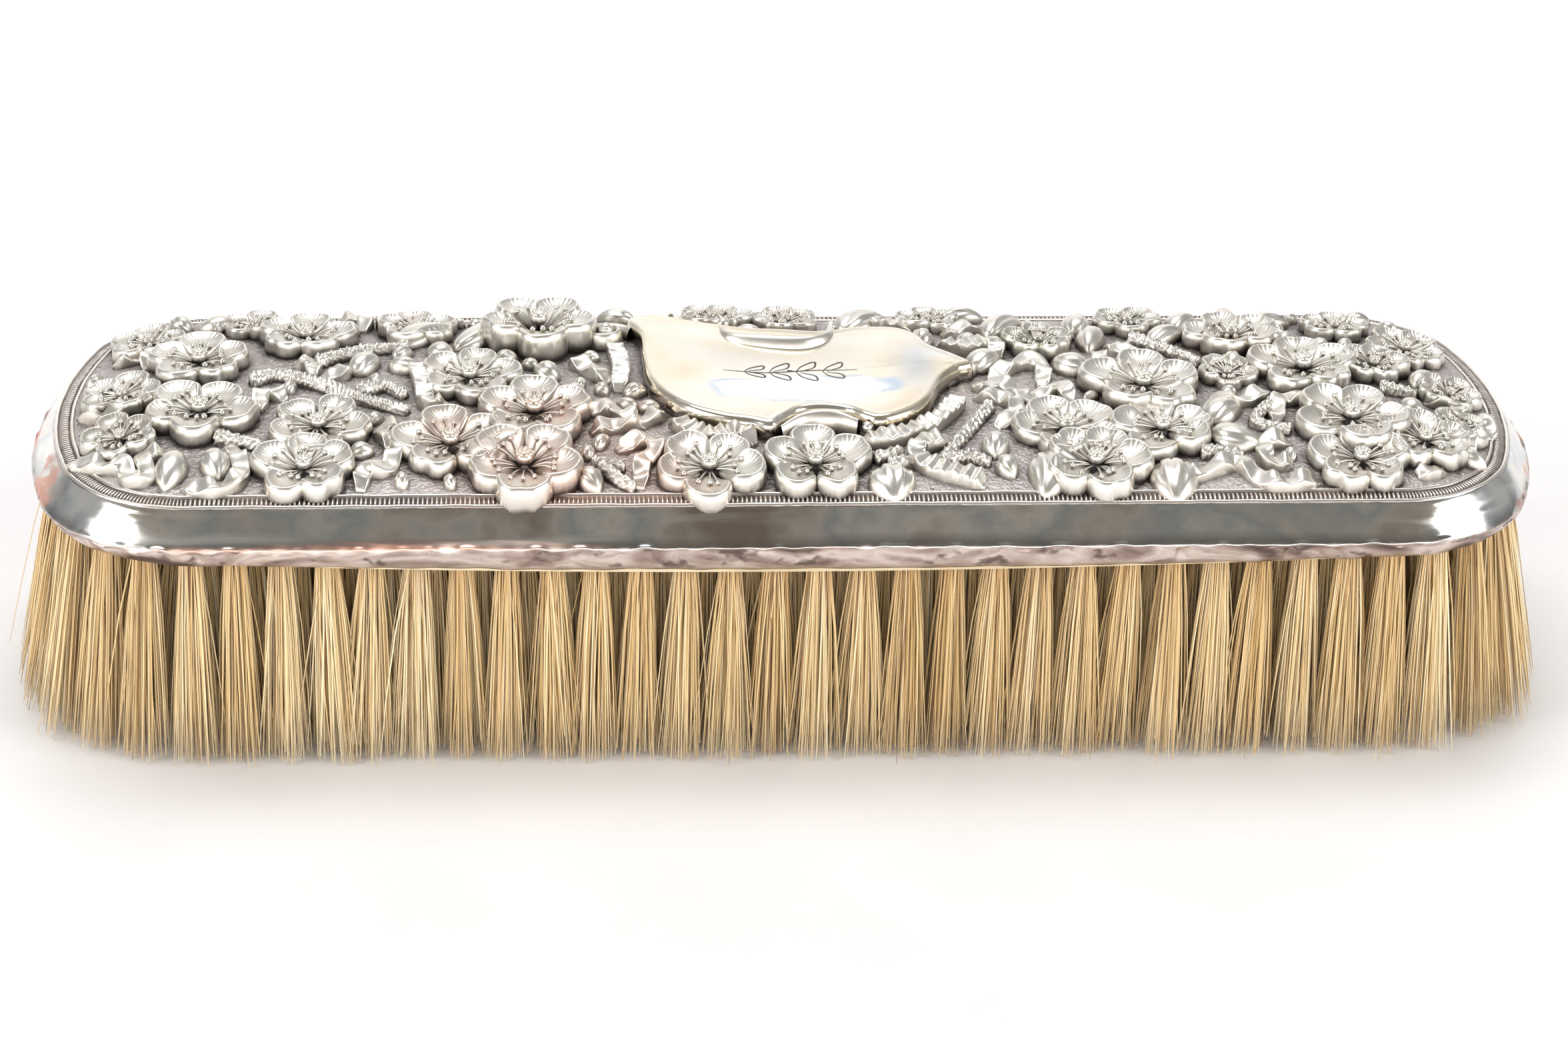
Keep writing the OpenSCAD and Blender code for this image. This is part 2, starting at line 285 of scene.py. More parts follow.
def make_border():
    """Two raised lines with close ticks between them."""
    perimeter = 4 * (END_R * CORNER_A + CORNER_R * (math.pi / 2 - CORNER_A) + CORNER_X)
    ticks = round(perimeter / TICK_PITCH)
    per_tick = 6
    base, normal = rim(ticks * per_tick)
    phase = np.arange(ticks * per_tick) * 2 * math.pi / per_tick
    tick = 0.5 + 0.5 * np.cos(phase)
    wobble = 0.04 * bumps(base[:, 0], base[:, 1], 7, 21)
    profile = [(2.8, 0.0, 0), (2.87, 0.18, 0), (2.98, 0.27, 0), (3.12, 0.26, 0), (3.24, 0.14, 0)]
    profile += [(3.3, -0.05, 0.03), (3.42, -0.06, 0.17), (3.62, -0.06, 0.25), (3.95, -0.06, 0.25)]
    profile += [(4.3, -0.06, 0.23), (4.5, -0.05, 0.1), (4.62, -0.04, 0), (4.74, 0.12, 0), (4.86, 0.23, 0)]
    profile += [(5.0, 0.22, 0), (5.12, 0.1, 0), (5.2, -0.03, 0), (5.8, -0.05, 0)]
    grid = []
    for d, h, t in profile:
        at = d + wobble
        z = dome(at) + h + t * tick
        grid.append(np.column_stack([base - normal * at[:, None], z]))
    pile = Pile()
    pile.grid(np.array(grid).transpose(1, 0, 2), wrap_u=True)
    return pile


def make_ground(step=0.34, edge=GROUND_EDGE):
    """The stippled ground of the field, from border to border."""
    xs = np.arange(-HALF_L, HALF_L + step, step)
    ys = np.arange(-HALF_W, HALF_W + step, step)
    x, y = np.meshgrid(xs, ys, indexing="ij")
    d = inset(x, y)
    keep = d > edge
    quad = keep[:-1, :-1] | keep[1:, :-1] | keep[1:, 1:] | keep[:-1, 1:]
    shift = np.maximum(edge - d, 0)
    gx = (inset(x + 0.01, y) - inset(x - 0.01, y)) / 0.02
    gy = (inset(x, y + 0.01) - inset(x, y - 0.01)) / 0.02
    x, y = x + gx * shift, y + gy * shift
    grain = 0.045 * bumps(x, y, 1.1, 31) + 0.03 * bumps(x, y, 2.6, 32)
    z = dome(inset(x, y)) + grain * smooth((d - edge) / 0.6)
    idx = np.arange(x.size).reshape(x.shape)
    faces = np.stack([idx[:-1, :-1], idx[1:, :-1], idx[1:, 1:], idx[:-1, 1:]], -1)[quad]
    used, back = np.unique(faces, return_inverse=True)
    points = np.stack([x, y, z], -1).reshape(-1, 3)[used]
    return points, back.reshape(faces.shape)


# ---------- relief ----------

# blossoms: x, y, radius, turn of the first petal in degrees, how cupped, lift
BLOSSOMS = [
    (-69.8, 6.7, 6.5, 20, 1.0, 0.6), (-68.7, -6.9, 6.9, -90, 1.0, 0.5), (-77.4, -11.6, 4.8, 40, 1.25, 0.1),
    (-78.3, -0.6, 5.2, 70, 1.0, 0.1), (-57.5, 13.8, 6.0, 10, 1.0, 0.8), (-56.0, -19.3, 6.2, 90, 1.0, 0.5),
    (-54.8, -10.4, 6.4, 60, 1.0, 0.2), (-76.5, 14.0, 5.0, 15, 1.0, 0.2), (-39.5, -14.4, 6.9, 100, 1.0, 0.3),
    (-31.0, -19.0, 7.0, 54, 1.0, 0.9), (-29.9, -7.6, 7.2, 90, 1.0, 0.7), (-37.6, 2.2, 6.6, 5, 1.0, 0.2),
    (-29.4, 14.6, 7.0, 60, 1.1, 3.2), (-44.2, 17.2, 5.4, 30, 1.0, 0.4), (-10.0, -19.5, 6.6, 54, 1.0, 0.3),
    (2.2, -18.9, 6.6, 18, 1.0, 0.4), (-7.5, 21.2, 4.8, 70, 1.0, 0.6), (1.0, 20.6, 4.6, 36, 1.0, 0.3),
    (31.3, 11.4, 4.6, 90, 1.5, 0.6), (42.5, -0.9, 7.5, 18, 1.0, 0.4), (32.0, -11.6, 6.6, 40, 1.0, 0.1),
    (34.5, -19.2, 6.6, 70, 1.0, 0.6), (43.2, -11.9, 6.6, 100, 1.0, 0.3), (55.4, 13.2, 6.4, 30, 1.0, 0.9),
    (62.6, 3.4, 7.2, 90, 1.0, 0.8), (53.2, 2.6, 3.8, 50, 1.1, 0.1), (66.0, -9.8, 7.2, 60, 1.0, 0.5),
    (65.5, -18.6, 6.2, 90, 1.0, 0.2), (73.8, -14.4, 6.0, 20, 1.0, 0.3), (71.5, 4.6, 4.6, 75, 1.2, 0.6),
    (76.6, 10.6, 5.2, 45, 1.0, 0.3), (79.6, -1.5, 4.2, 60, 1.0, 0.1), (-64.0, 19.0, 4.6, 80, 1.0, 0.2),
    (18.5, 20.4, 4.2, 20, 1.0, 0.3), (43.5, 19.5, 4.8, 60, 1.0, 0.5), (69.0, 16.8, 4.6, 10, 1.0, 0.5),
    (78.5, -10.5, 4.2, 33, 1.0, 0.1),
]
# ribbons: crimped or not, then the places they pass through
RIBBONS = [
    (0, [(-83, -15), (-79.5, -17), (-76.5, -18), (-75.5, -20.5), (-73.5, -20), (-74.5, -16.5),
         (-72, -15.5)]),
    (0, [(-69.5, -22), (-66.5, -22.8), (-64, -22), (-63, -20), (-64, -16), (-65.5, -15)]),
    (0, [(-62, -6), (-61.5, -1.5), (-59, -3)]),
    (0, [(-80.5, 9.5), (-76.5, 10), (-76, 7)]),
    (0, [(-83, -3.5), (-80, -5.5), (-74, -2)]),
    (0, [(-45, -10), (-47.5, -11.5), (-46, -15), (-46.5, -19), (-49, -19.5), (-49.5, -22.6)]),
    (1, [(-44, 5.5), (-43, -0.5), (-42.5, -4.5), (-40, -5)]),
    (0, [(-49, 21.5), (-47.5, 17.5), (-46.5, 13)]),
    (0, [(-54, 22), (-50.8, 22), (-51, 18)]),
    (0, [(-25.5, 7), (-22.5, 3), (-21, 1.5)]),
    (0, [(-24.5, -7), (-21, -6.5), (-18, -9.5), (-14.5, -7)]),
    (0, [(-23.5, -11.5), (-19, -10), (-17, -10)]),
    (1, [(-14, -9.5), (-10.5, -13), (-6.5, -12.6), (-4.5, -14.5)]),
    (0, [(-20.5, -15.5), (-17, -13.5), (-16, -16), (-17.5, -18.5), (-18, -22.5)]),
    (1, [(-20.4, 11), (-19.6, 4), (-20, -1)]),
    (1, [(7.5, -14.5), (9.5, -14.2), (13, -13), (17, -10), (20.4, -4.5)]),
    (0, [(24.5, 2), (28.5, 5.5), (31, 4.5), (30.5, -0.5)]),
    (0, [(22, -0.4), (25.5, -0.8), (28.5, -4.5), (32, -1.6), (33.5, -4.5)]),
    (0, [(22, -3), (26, -4.5), (26.5, -8), (24, -10.5)]),
    (1, [(18, -14), (14.5, -15.5), (14, -18), (16, -20), (19.5, -21.5), (21.5, -22.6)]),
    (1, [(19, 11.5), (21.5, 10), (25.5, 11), (26, 7.5)]),
    (0, [(20, 15.5), (23, 17), (27, 17.5)]),
    (0, [(45, -21.5), (49, -19.5), (51, -19), (52.5, -21), (54, -22.6), (57, -22.8), (60, -22)]),
    (0, [(58, -14.5), (55, -15), (54.5, -18.5), (57.5, -19)]),
    (0, [(50, -3.6), (53.5, -5), (57.5, -2.5)]),
    (0, [(57, -10), (58.5, -5), (63.5, -4.5)]),
    (0, [(76, -3.5), (79.5, -4.5), (79.5, -7.5), (82.5, -8.5), (82.3, -11)]),
    (0, [(77.5, -8.5), (79, -10.5), (79.5, -14.5)]),
    (0, [(71.5, -21), (75, -20)]),
    (1, [(10.5, 21.5), (13, 18.5), (16.5, 17.2)]),
    (0, [(-14, 22.5), (-12.5, 20.5), (-15.5, 19.8)]),
]
# twigs: the places they pass through
TWIGS = [
    [(-63.5, 1.5), (-60, 3), (-54, -0.5)],
    [(-58.5, 2.5), (-53.5, -0.6), (-50, -3.5), (-44.5, -6.5)],
    [(-66.5, -12.5), (-61, -14.5)],
    [(-69, 17.5), (-66, 19.4)],
    [(-56, 6.5), (-50.5, 10), (-45, 11.5)],
    [(-51, -1.5), (-47.5, 0), (-45, -2.5)],
    [(-23.5, -18.5), (-19.5, -19)],
    [(-22.5, -19), (-20, -21.6), (-18.5, -22.8)],
    [(23.5, -6), (20, -12.5), (16.5, -18.5)],
    [(16.5, -18.5), (20, -17.5), (22.5, -18.5)],
    [(9, -18), (12.5, -16)],
    [(10.5, -19), (13.5, -18)],
    [(43, 13.5), (46, 10.5), (50.5, 5.5)],
    [(58, -4.5), (54.5, -10), (58.5, -12)],
    [(47, -16.5), (52, -17.5)],
    [(71, -1), (75.5, -2.4)],
]
# buds and leaves: base, tip, half width as a share of the length, sideways bend, number of creases
BUDS = [
    ((-70.5, -16), (-71.5, -22.3), 0.3, 0, 1), ((-66.5, -16), (-65.5, -20.6), 0.4, 0, 2),
    ((-24.5, -20), (-22.5, -23.2), 0.42, 0, 2), ((10.5, -19.4), (11, -25), 0.5, 0, 3),
    ((23.5, -13.4), (23, -17.4), 0.42, 0, 2), ((23.5, -18), (25, -21), 0.42, 0, 1),
    ((28.6, -17), (28, -24.4), 0.36, 0.1, 3), ((43.5, -18.5), (43, -25.4), 0.42, 0, 3),
    ((49, -10), (53.5, -6), 0.36, 0.1, 2), ((49, -12), (54.4, -15), 0.36, -0.1, 2),
    ((77.5, -16.4), (80.5, -18.2), 0.34, 0, 1), ((75.5, -0.5), (79, 3.2), 0.3, 0.1, 1),
    ((25.5, 14.5), (30.5, 20.8), 0.24, 0.12, 1), ((36.5, 15.5), (37.5, 21.8), 0.3, 0, 2),
    ((39.5, 15.5), (37.4, 9.5), 0.28, -0.1, 1), ((45, 11.5), (50.4, 15.4), 0.26, 0.1, 1),
    ((48.5, 16.5), (52.6, 20.8), 0.3, 0.1, 1), ((54.5, 3.5), (54, 7.5), 0.4, 0, 2),
    ((-46.5, 11.5), (-39.5, 18.2), 0.24, 0.1, 1), ((-39.5, 11), (-35, 20.6), 0.22, -0.12, 1),
    ((7.5, 17), (14, 22.2), 0.3, 0.1, 3), ((22.5, 3.8), (26.4, 7.8), 0.36, 0.1, 1),
    ((-37, -19.6), (-33.2, -13.6), 0.48, 0.05, 2), ((-35.2, -15.2), (-29.5, -13.4), 0.4, 0.1, 2),
    ((-17.5, 21.8), (-22.6, 22.2), 0.34, 0, 2), ((-66.5, 20.4), (-71, 18.4), 0.34, 0.1, 1),
    ((-51.5, 16.4), (-54, 19.6), 0.3, 0, 1), ((-24, -1), (-26.8, -3.2), 0.36, 0, 1),
    ((58, 17.6), (64, 19.4), 0.28, 0.1, 2), ((20.5, 22.6), (26, 22.4), 0.3, 0, 1),
]


def add_blossom(pile, x, y, radius, turn, cup, lift, rng):
    """Five shallow cupped petals, their stamens and a granular middle."""
    height = (0.55 + 0.17 * radius) * (0.75 + 0.25 * cup)
    lift = 0.6 * lift
    for k in range(5):
        angle = math.radians(turn + 72 * k) + rng.uniform(-0.08, 0.08)
        length = radius * rng.uniform(0.93, 1.06)
        rise = height * rng.uniform(0.88, 1.14)
        width = length * rng.uniform(0.39, 0.44)
        up = lift + rng.uniform(0, 0.35)
        add_petal(pile, x, y, angle, length, width, rise, cup, up, rng)
        for j in (-1, 0, 1):
            side = angle + 0.32 * j + rng.uniform(-0.08, 0.08)
            reach = length * rng.uniform(0.42, 0.6)
            add_stamen(pile, x, y, side, reach, length, rise, up, rng)
    add_middle(pile, x, y, 0.155 * radius, 0.55 * height + lift, rng)


def along_height(share):
    return 0.64 + 0.36 * smooth((share - 0.12) / 0.6)


def add_petal(pile, x, y, angle, length, width, rise, cup, lift, rng):
    t = np.linspace(0, 2 * math.pi, 110, endpoint=False)[:, None]
    rho = [0, 0.14, 0.28, 0.42, 0.54, 0.64, 0.71, 0.76, 0.79, 0.815]
    bowl = len(rho)
    swell = np.radians([76, 58, 40, 22, 4, -14, -30])
    rho = np.array(rho + list(0.83 + 0.17 * np.cos(swell)) + [0.95])[None, :]
    floor = 0.52 - 0.2 * (cup - 1)
    notch = rng.uniform(0, 0.09) * length
    mid, half = 0.57 * length, 0.43 * length
    ruffle = 1 + 0.025 * np.sin(3 * t + rng.uniform(0, 6)) + 0.008 * np.sin(6 * t + rng.uniform(0, 6))
    a_out = mid + half * np.cos(t) * ruffle - notch * np.exp(-((np.sin(t / 2) / 0.16) ** 2))
    b_out = width * np.sin(t) * (1.06 - 0.5 * smooth(-np.cos(t))) * ruffle
    a = mid + (a_out - mid) * rho
    b = b_out * rho
    open_side = smooth((np.cos(t) + 0.75) / 0.7)
    eta = np.ones_like(a)
    eta[:, :bowl] = floor + (1 - floor) * open_side * (rho[:, :bowl] / 0.815) ** 2.4
    edge = floor + (1 - floor) * open_side
    eta[:, bowl:-1] = edge * (0.3 + 0.7 * np.sin(np.maximum(swell, -0.6)))[None, :]
    comb = 0.05 * np.cos(24 * t) * smooth((rho - 0.4) / 0.35) * (rho < 0.8) * smooth(np.cos(t) + 0.4)
    z = rise * along_height(a / length) * eta + comb + lift * smooth(a / length * 2) * (eta > 0.2)
    z += 0.035 * bumps(a, b + angle * 9, 3.5, 41) * smooth(rho * 2)
    c, s = math.cos(angle), math.sin(angle)
    px, py = x + c * a - s * b, y + s * a + c * b
    pz = carrier(px, py) + z
    pz[:, -1] = surface(px[:, -1], py[:, -1]) - SKIRT
    pile.grid(np.stack([px, py, pz], -1), wrap_u=True)


def add_ball(pile, x, y, z, r, around, rings, squash=1.0):
    u = np.linspace(0, 2 * math.pi, around, endpoint=False)[:, None]
    v = np.linspace(0.02, math.pi - 0.02, rings)[None, :]
    px = x + r * np.cos(u) * np.sin(v)
    py = y + r * np.sin(u) * np.sin(v)
    pz = z + r * np.cos(v) * squash * np.ones_like(u)
    pile.grid(np.stack([px, py, pz], -1), wrap_u=True, solid=True)


def add_stamen(pile, x, y, angle, reach, length, rise, lift, rng):
    s = np.linspace(0.14, reach / length, 6)
    a = s * length
    arch = 0.12 * np.sin(np.linspace(0, math.pi, 6))
    z = rise * along_height(s) * 0.6 + lift * smooth(s * 2) + 0.12 + arch
    c, d = math.cos(angle), math.sin(angle)
    px, py = x + c * a, y + d * a
    pz = carrier(px, py) + z
    phi = np.linspace(0, 2 * math.pi, 5, endpoint=False)[None, :]
    r = np.linspace(0.15, 0.11, 6)[:, None]
    grid = np.stack(
        [
            px[:, None] - d * r * np.cos(phi),
            py[:, None] + c * r * np.cos(phi),
            pz[:, None] + r * np.sin(phi),
        ],
        -1,
    )
    pile.grid(grid, wrap_v=True, solid=True)
    add_ball(pile, px[-1], py[-1], pz[-1] + 0.1, rng.uniform(0.3, 0.38), 9, 6)


def add_middle(pile, x, y, r, lift, rng):
    z = float(carrier(x, y)) + lift + 0.35 * r
    add_ball(pile, x, y, z, r, 30, 16, squash=0.9)
    for ring, count in ((0.0, 1), (0.5, 6), (0.95, 9)):
        for k in range(count):
            a = 2 * math.pi * (k + rng.uniform(0, 0.3)) / count
            out = r * math.sin(ring)
            add_ball(
                pile, x + out * math.cos(a), y + out * math.sin(a),
                z + r * 0.9 * math.cos(ring), 0.24 * r, 7, 5,
            )


def add_ribbon(pile, crimped, points, rng):
    """A flat ribbon that ripples up and down and rolls a little, with a wall to the ground on both sides."""
    line = curve(points, 0.2)
    left = across(line)
    n = len(line)
    s = np.arange(n) * 0.2
    phase = rng.uniform(0, 6)
    wave = np.sin(2 * math.pi * s / 3.7 + phase + 0.5 * np.sin(2 * math.pi * s / 7 + phase))
    high = 1.25 + 0.36 * wave
    roll = np.radians(20) * np.sin(2 * math.pi * s / 5.2 + 2 * phase)
    if crimped:
        wave = np.abs(((s / 1.45) % 1) * 2 - 1)
        high = 1.6 + 0.5 * (wave - 0.5)
        roll *= 0.5
    ends = smooth(np.minimum(s, s[-1] - s) / 1.2)
    half = (1.1 if crimped else 1.05) * (0.55 + 0.45 * ends)
    high = high * (0.35 + 0.65 * ends)
    q = np.array([-1, -0.96, -0.86, -0.5, 0, 0.5, 0.86, 0.96, 1])[None, :]
    edge = np.array([-0.16, -0.04, 0.03, -0.03, -0.06, -0.03, 0.03, -0.04, -0.16])[None, :]
    out = half[:, None] * q * np.cos(roll)[:, None]
    z = high[:, None] + half[:, None] * q * np.sin(roll)[:, None] + edge
    z = np.maximum(z, 0.1)
    px = line[:, :1] + left[:, :1] * out
    py = line[:, 1:] + left[:, 1:] * out
    pz = carrier(px, py) + z
    grid = np.stack([px, py, pz], -1)
    skirts = []
    for side in (0, -1):
        foot = grid[:, side].copy()
        foot[:, :2] -= left * 0.1 * (1 if side == -1 else -1)
        foot[:, 2] = surface(foot[:, 0], foot[:, 1]) - SKIRT
        skirts.append(foot[:, None])
    full = np.concatenate([skirts[0], grid, skirts[1]], 1)
    cap_a, cap_b = full[:1].copy(), full[-1:].copy()
    for cap in (cap_a, cap_b):
        cap[..., 2] = surface(cap[..., 0], cap[..., 1]) - SKIRT
    pile.grid(np.concatenate([cap_a, full, cap_b], 0))


def add_mound(pile, line, half, high, dent=None):
    """A rounded ridge along a line: half width and height along it, dent across it."""
    left = across(line)
    phi = np.linspace(math.radians(196), math.radians(-16), 23)[None, :]
    size = 1 + (dent(phi) if dent else 0)
    out = half[:, None] * np.cos(phi) * size
    z = high[:, None] * np.sin(phi) * size
    px = line[:, :1] - left[:, :1] * out
    py = line[:, 1:] - left[:, 1:] * out
    pz = carrier(px, py) + z
    under = (np.sin(phi) < 0.05) * np.ones_like(pz) > 0
    pz = np.where(under, surface(px, py) - SKIRT, pz)
    pile.grid(np.stack([px, py, pz], -1))


def add_twig(pile, points, rng):
    line = curve(points, 0.16)
    n = len(line)
    s = np.linspace(0, 1, n)
    half = 0.9 - 0.25 * s
    half[[0, -1]] *= 0.3
    seed = int(rng.integers(1000))

    def bark(phi):
        along = (s * n * 0.16)[:, None] * np.ones_like(phi)
        fine = bumps(along, phi * 1.1, 0.62, seed)
        return 0.15 * fine + 0.06 * bumps(along * 0.3, phi * 2.2, 0.9, seed + 1)

    add_mound(pile, line, half, half * 1.7, bark)


def add_bud(pile, base, tip, share, bend, creases, rng):
    """A swollen bud or rolled leaf: pointed at its tip, with creases that run out along it."""
    a, b = np.array(base, float), np.array(tip, float)
    length = np.hypot(*(b - a))
    side = np.array([-(b - a)[1], (b - a)[0]])
    line = curve([a, (a + b) / 2 + side * bend, b], length / 34)
    s = np.linspace(0, 1, len(line))
    shape = np.sin(math.pi * s**0.85) ** 0.62
    half = length * share * np.maximum(shape, 0.02)
    high = np.minimum(2.2, 0.55 + length * share * 0.95) * np.maximum(shape, 0.02) ** 0.8
    places = np.linspace(0.3, 0.7, creases) * math.pi + rng.uniform(-0.15, 0.15)

    def dent(phi):
        cut = np.zeros((len(s), phi.shape[1]))
        for k, place in enumerate(places):
            fan = 0.5 - k / (creases - 1) if creases > 1 else 0.3
            drift = place + fan * 0.9 * (s[:, None] - 0.4)
            cut -= 0.2 * np.exp(-(((phi - drift) / 0.1) ** 2)) * smooth(1.3 - s[:, None])
            cut += 0.05 * np.exp(-(((phi - drift - 0.22) / 0.12) ** 2))
        return cut

    add_mound(pile, line, half, high, dent)


# cartouche: outline of the plain plaque, counter-clockwise from the upper left
PLAQUE = [
    (-14.5, 18.5), (-17.5, 18.3), (-18.6, 16.5), (-17.2, 12), (-17, 6), (-16.5, -0.5), (-14.7, -5.5),
    (-12, -9), (-8, -11.2), (-4.8, -12.2), (-2.5, -13), (-1.2, -11.6), (0.8, -9.4), (3.5, -8.7),
    (6.4, -9.3), (8.4, -11), (10.4, -11.8), (13.6, -10.2), (16.2, -7.2), (18.2, -1.8), (20.4, 1.2),
    (22.4, 2.6), (20.6, 5), (17.8, 8), (16.2, 11.6), (13.6, 13.6), (9.5, 14), (5.5, 13), (0, 13.6),
    (-6, 14.4), (-11, 16.6),
]
PLAQUE_MIDDLE = (0.5, 2.5)
PLAQUE_H = 2.3
PLAQUE_DISH = 1.1
TOP_TAB = [(-7.4, 15.2), (-6.4, 11), (-2.5, 9.6), (2.5, 9.2), (5.4, 11), (6.2, 14.6)]
LOW_TAB = [(-1.6, -13.6), (1.2, -11.4), (4.6, -10.8), (7.6, -12.2)]
# knobs: x, y, height over the field, radius, points around, rings
KNOBS = [
    (-21.3, 13.4, 2.1, 0.8, 16, 10), (-6.9, 16, 1.8, 0.8, 14, 9), (6.3, 15.2, 1.6, 0.75, 14, 9),
    (8.6, -12.4, 1.3, 0.7, 14, 9),
]


def plaque_top(x, y):
    r = np.hypot((x - PLAQUE_MIDDLE[0]) / 19, (y - PLAQUE_MIDDLE[1]) / 13.5)
    return carrier(x, y) + PLAQUE_H - PLAQUE_DISH * smooth(1.08 - r) + 0.04 * bumps(x, y, 11, 61)


def make_plaque():
    pile = Pile()
    line = curve(PLAQUE, 0.22, closed=True)
    left = across(line, closed=True)
    steps = [(0.1, None), (-0.06, 0.2), (-0.1, 0.45), (-0.06, 0.7), (0.08, 0.87), (0.3, 0.97), (0.55, 1.02)]
    steps += [(0.85, 1.02), (1.15, 0.99), (1.5, 0.985)]
    rings = []
    for d, share in steps:
        xy = line + left * d
        low = surface(xy[:, 0], xy[:, 1]) - SKIRT
        if share is None:
            z = low
        else:
            high = plaque_top(xy[:, 0], xy[:, 1])
            z = low + (high - low) * share
        rings.append(np.column_stack([xy, z]))
    inner = rings[-1][:, :2]
    middle = np.array(PLAQUE_MIDDLE)
    for k in np.linspace(0.94, 0.02, 26):
        xy = middle + (inner - middle) * k
        z = plaque_top(xy[:, 0], xy[:, 1])
        rings.append(np.column_stack([xy, z - 0.03 * smooth((1 - k) * 8)]))
    pile.grid(np.array(rings).transpose(1, 0, 2), wrap_u=True)
    return pile


def make_scrolls():
    """The volute, the folded tabs and the small knobs round the plaque."""
    pile = Pile()
    turns = np.linspace(0, 2.3 * 2 * math.pi, 60)
    r = 3.5 * np.exp(-0.16 * turns)
    volute = np.column_stack([-21.2 + r * np.cos(turns + 0.5), 13.4 + r * np.sin(turns + 0.5)])
    line = curve(volute[:54], 0.2)
    s = np.linspace(0, 1, len(line))
    add_mound(pile, line, 0.85 - 0.35 * s, 1.7 + 0.9 * s)
    for x, y, high, r, around, rings in KNOBS:
        add_ball(pile, x, y, float(carrier(x, y)) + high, r, around, rings)

    def fold(phi):
        return -0.1 * np.exp(-((phi - 1.9) ** 2) / 0.03)

    for tab, wide in ((TOP_TAB, 1.3), (LOW_TAB, 1.2)):
        line = curve(tab, 0.2)
        s = np.linspace(0, 1, len(line))
        half = wide * (0.55 + 0.45 * np.sin(math.pi * s))
        add_mound(pile, line, half, 2.3 + 0.5 * np.sin(math.pi * s), fold)
    ear = curve([(18.6, 0.5), (20.8, 2.6), (22.8, 4), (23.4, 6)], 0.2)
    s = np.linspace(0, 1, len(ear))
    add_mound(pile, ear, 1.0 - 0.6 * s, 2.3 - 0.9 * s)
    return pile


def make_sprig():
    """Engraved sprig on the plaque: a stem with matching leaf loops on both sides."""
    pile = Pile()
    strokes = [[(-7.5, 2.4), (-3, 2.0), (0.5, 2.3), (4, 2.6), (8.5, 2.2)]]
    for side in (-1, 1):
        for at, size in ((-5, 1.6), (-2, 2.3), (1.2, 2.6), (4.4, 2.2)):
            strokes.append(
                [(at, 2.2), (at + 0.7, 2.2 + side * size * 0.55), (at + 2.3, 2.2 + side * size),
                 (at + 2.2, 2.2 + side * size * 0.45), (at + 0.5, 2.2 + side * 0.15)]
            )
    for points in strokes:
        line = curve(points, 0.15)
        left = across(line)
        s = np.linspace(0, 1, len(line))
        half = 0.05 + 0.08 * np.sin(math.pi * s)
        q = np.array([-1, 0, 1])[None, :]
        px = line[:, :1] + left[:, :1] * half[:, None] * q
        py = line[:, 1:] + left[:, 1:] * half[:, None] * q
        pz = plaque_top(px, py) - 0.012
        pile.grid(np.stack([px, py, pz], -1))
    return pile


class Relief:
    """Height map of the whole relief, from which each point learns how deep it lies."""

    CELL = 0.2

    def __init__(self, piles):
        self.nx = int(2 * (HALF_L + 3) / self.CELL)
        self.ny = int(2 * (HALF_W + 3) / self.CELL)
        xs = (np.arange(self.nx) + 0.5) * self.CELL - HALF_L - 3
        ys = (np.arange(self.ny) + 0.5) * self.CELL - HALF_W - 3
        x, y = np.meshgrid(xs, ys, indexing="ij")
        self.high = surface(x, y)
        for p in piles:
            points = p.all_points()
            i, j = self.cells(points[:, 0], points[:, 1])
            np.maximum.at(self.high, (i, j), points[:, 2])
        self.wide = self.blurred(8)
        self.near = self.blurred(3)

    def cells(self, x, y):
        i = np.clip(((x + HALF_L + 3) / self.CELL).astype(int), 0, self.nx - 1)
        j = np.clip(((y + HALF_W + 3) / self.CELL).astype(int), 0, self.ny - 1)
        return i, j

    def blurred(self, sigma):
        k = np.arange(-3 * sigma, 3 * sigma + 1)
        w = np.exp(-(k**2) / (2 * sigma**2))
        w /= w.sum()
        out = np.pad(self.high, 3 * sigma, mode="edge")
        out = sum(w[i] * out[i : i + self.nx] for i in range(len(k)))
        return sum(w[i] * out[:, i : i + self.ny] for i in range(len(k)))

    def age(self, points):
        """0 deep in a crevice, about 0.5 on even ground, 1 on what stands proud."""
        i, j = self.cells(points[:, 0], points[:, 1])
        wide = points[:, 2] - self.wide[i, j]
        near = points[:, 2] - self.near[i, j]
        return np.clip(0.47 + 0.19 * wide + 0.32 * near, 0, 1)

    def free(self, x, y, room):
        """Whether nothing stands within `room` of the place."""
        a = np.linspace(0, 2 * math.pi, 12, endpoint=False)
        px = x + np.outer([0, 0.55, 1], np.cos(a)).ravel() * room
        py = y + np.outer([0, 0.55, 1], np.sin(a)).ravel() * room
        i, j = self.cells(px, py)
        return bool(np.all(self.high[i, j] < surface(px, py) + 0.35) and np.all(inset(px, py) > 5.3))


def blush(points):
    """Where the worn silver turns reddish."""
    x, y = points[:, 0], points[:, 1]
    near = np.exp(-(((x + 27) / 17) ** 2) - ((y + 16) / 12) ** 2)
    return np.clip(near + 0.25 * bumps(x, y, 14, 71) - 0.1, 0, 1)


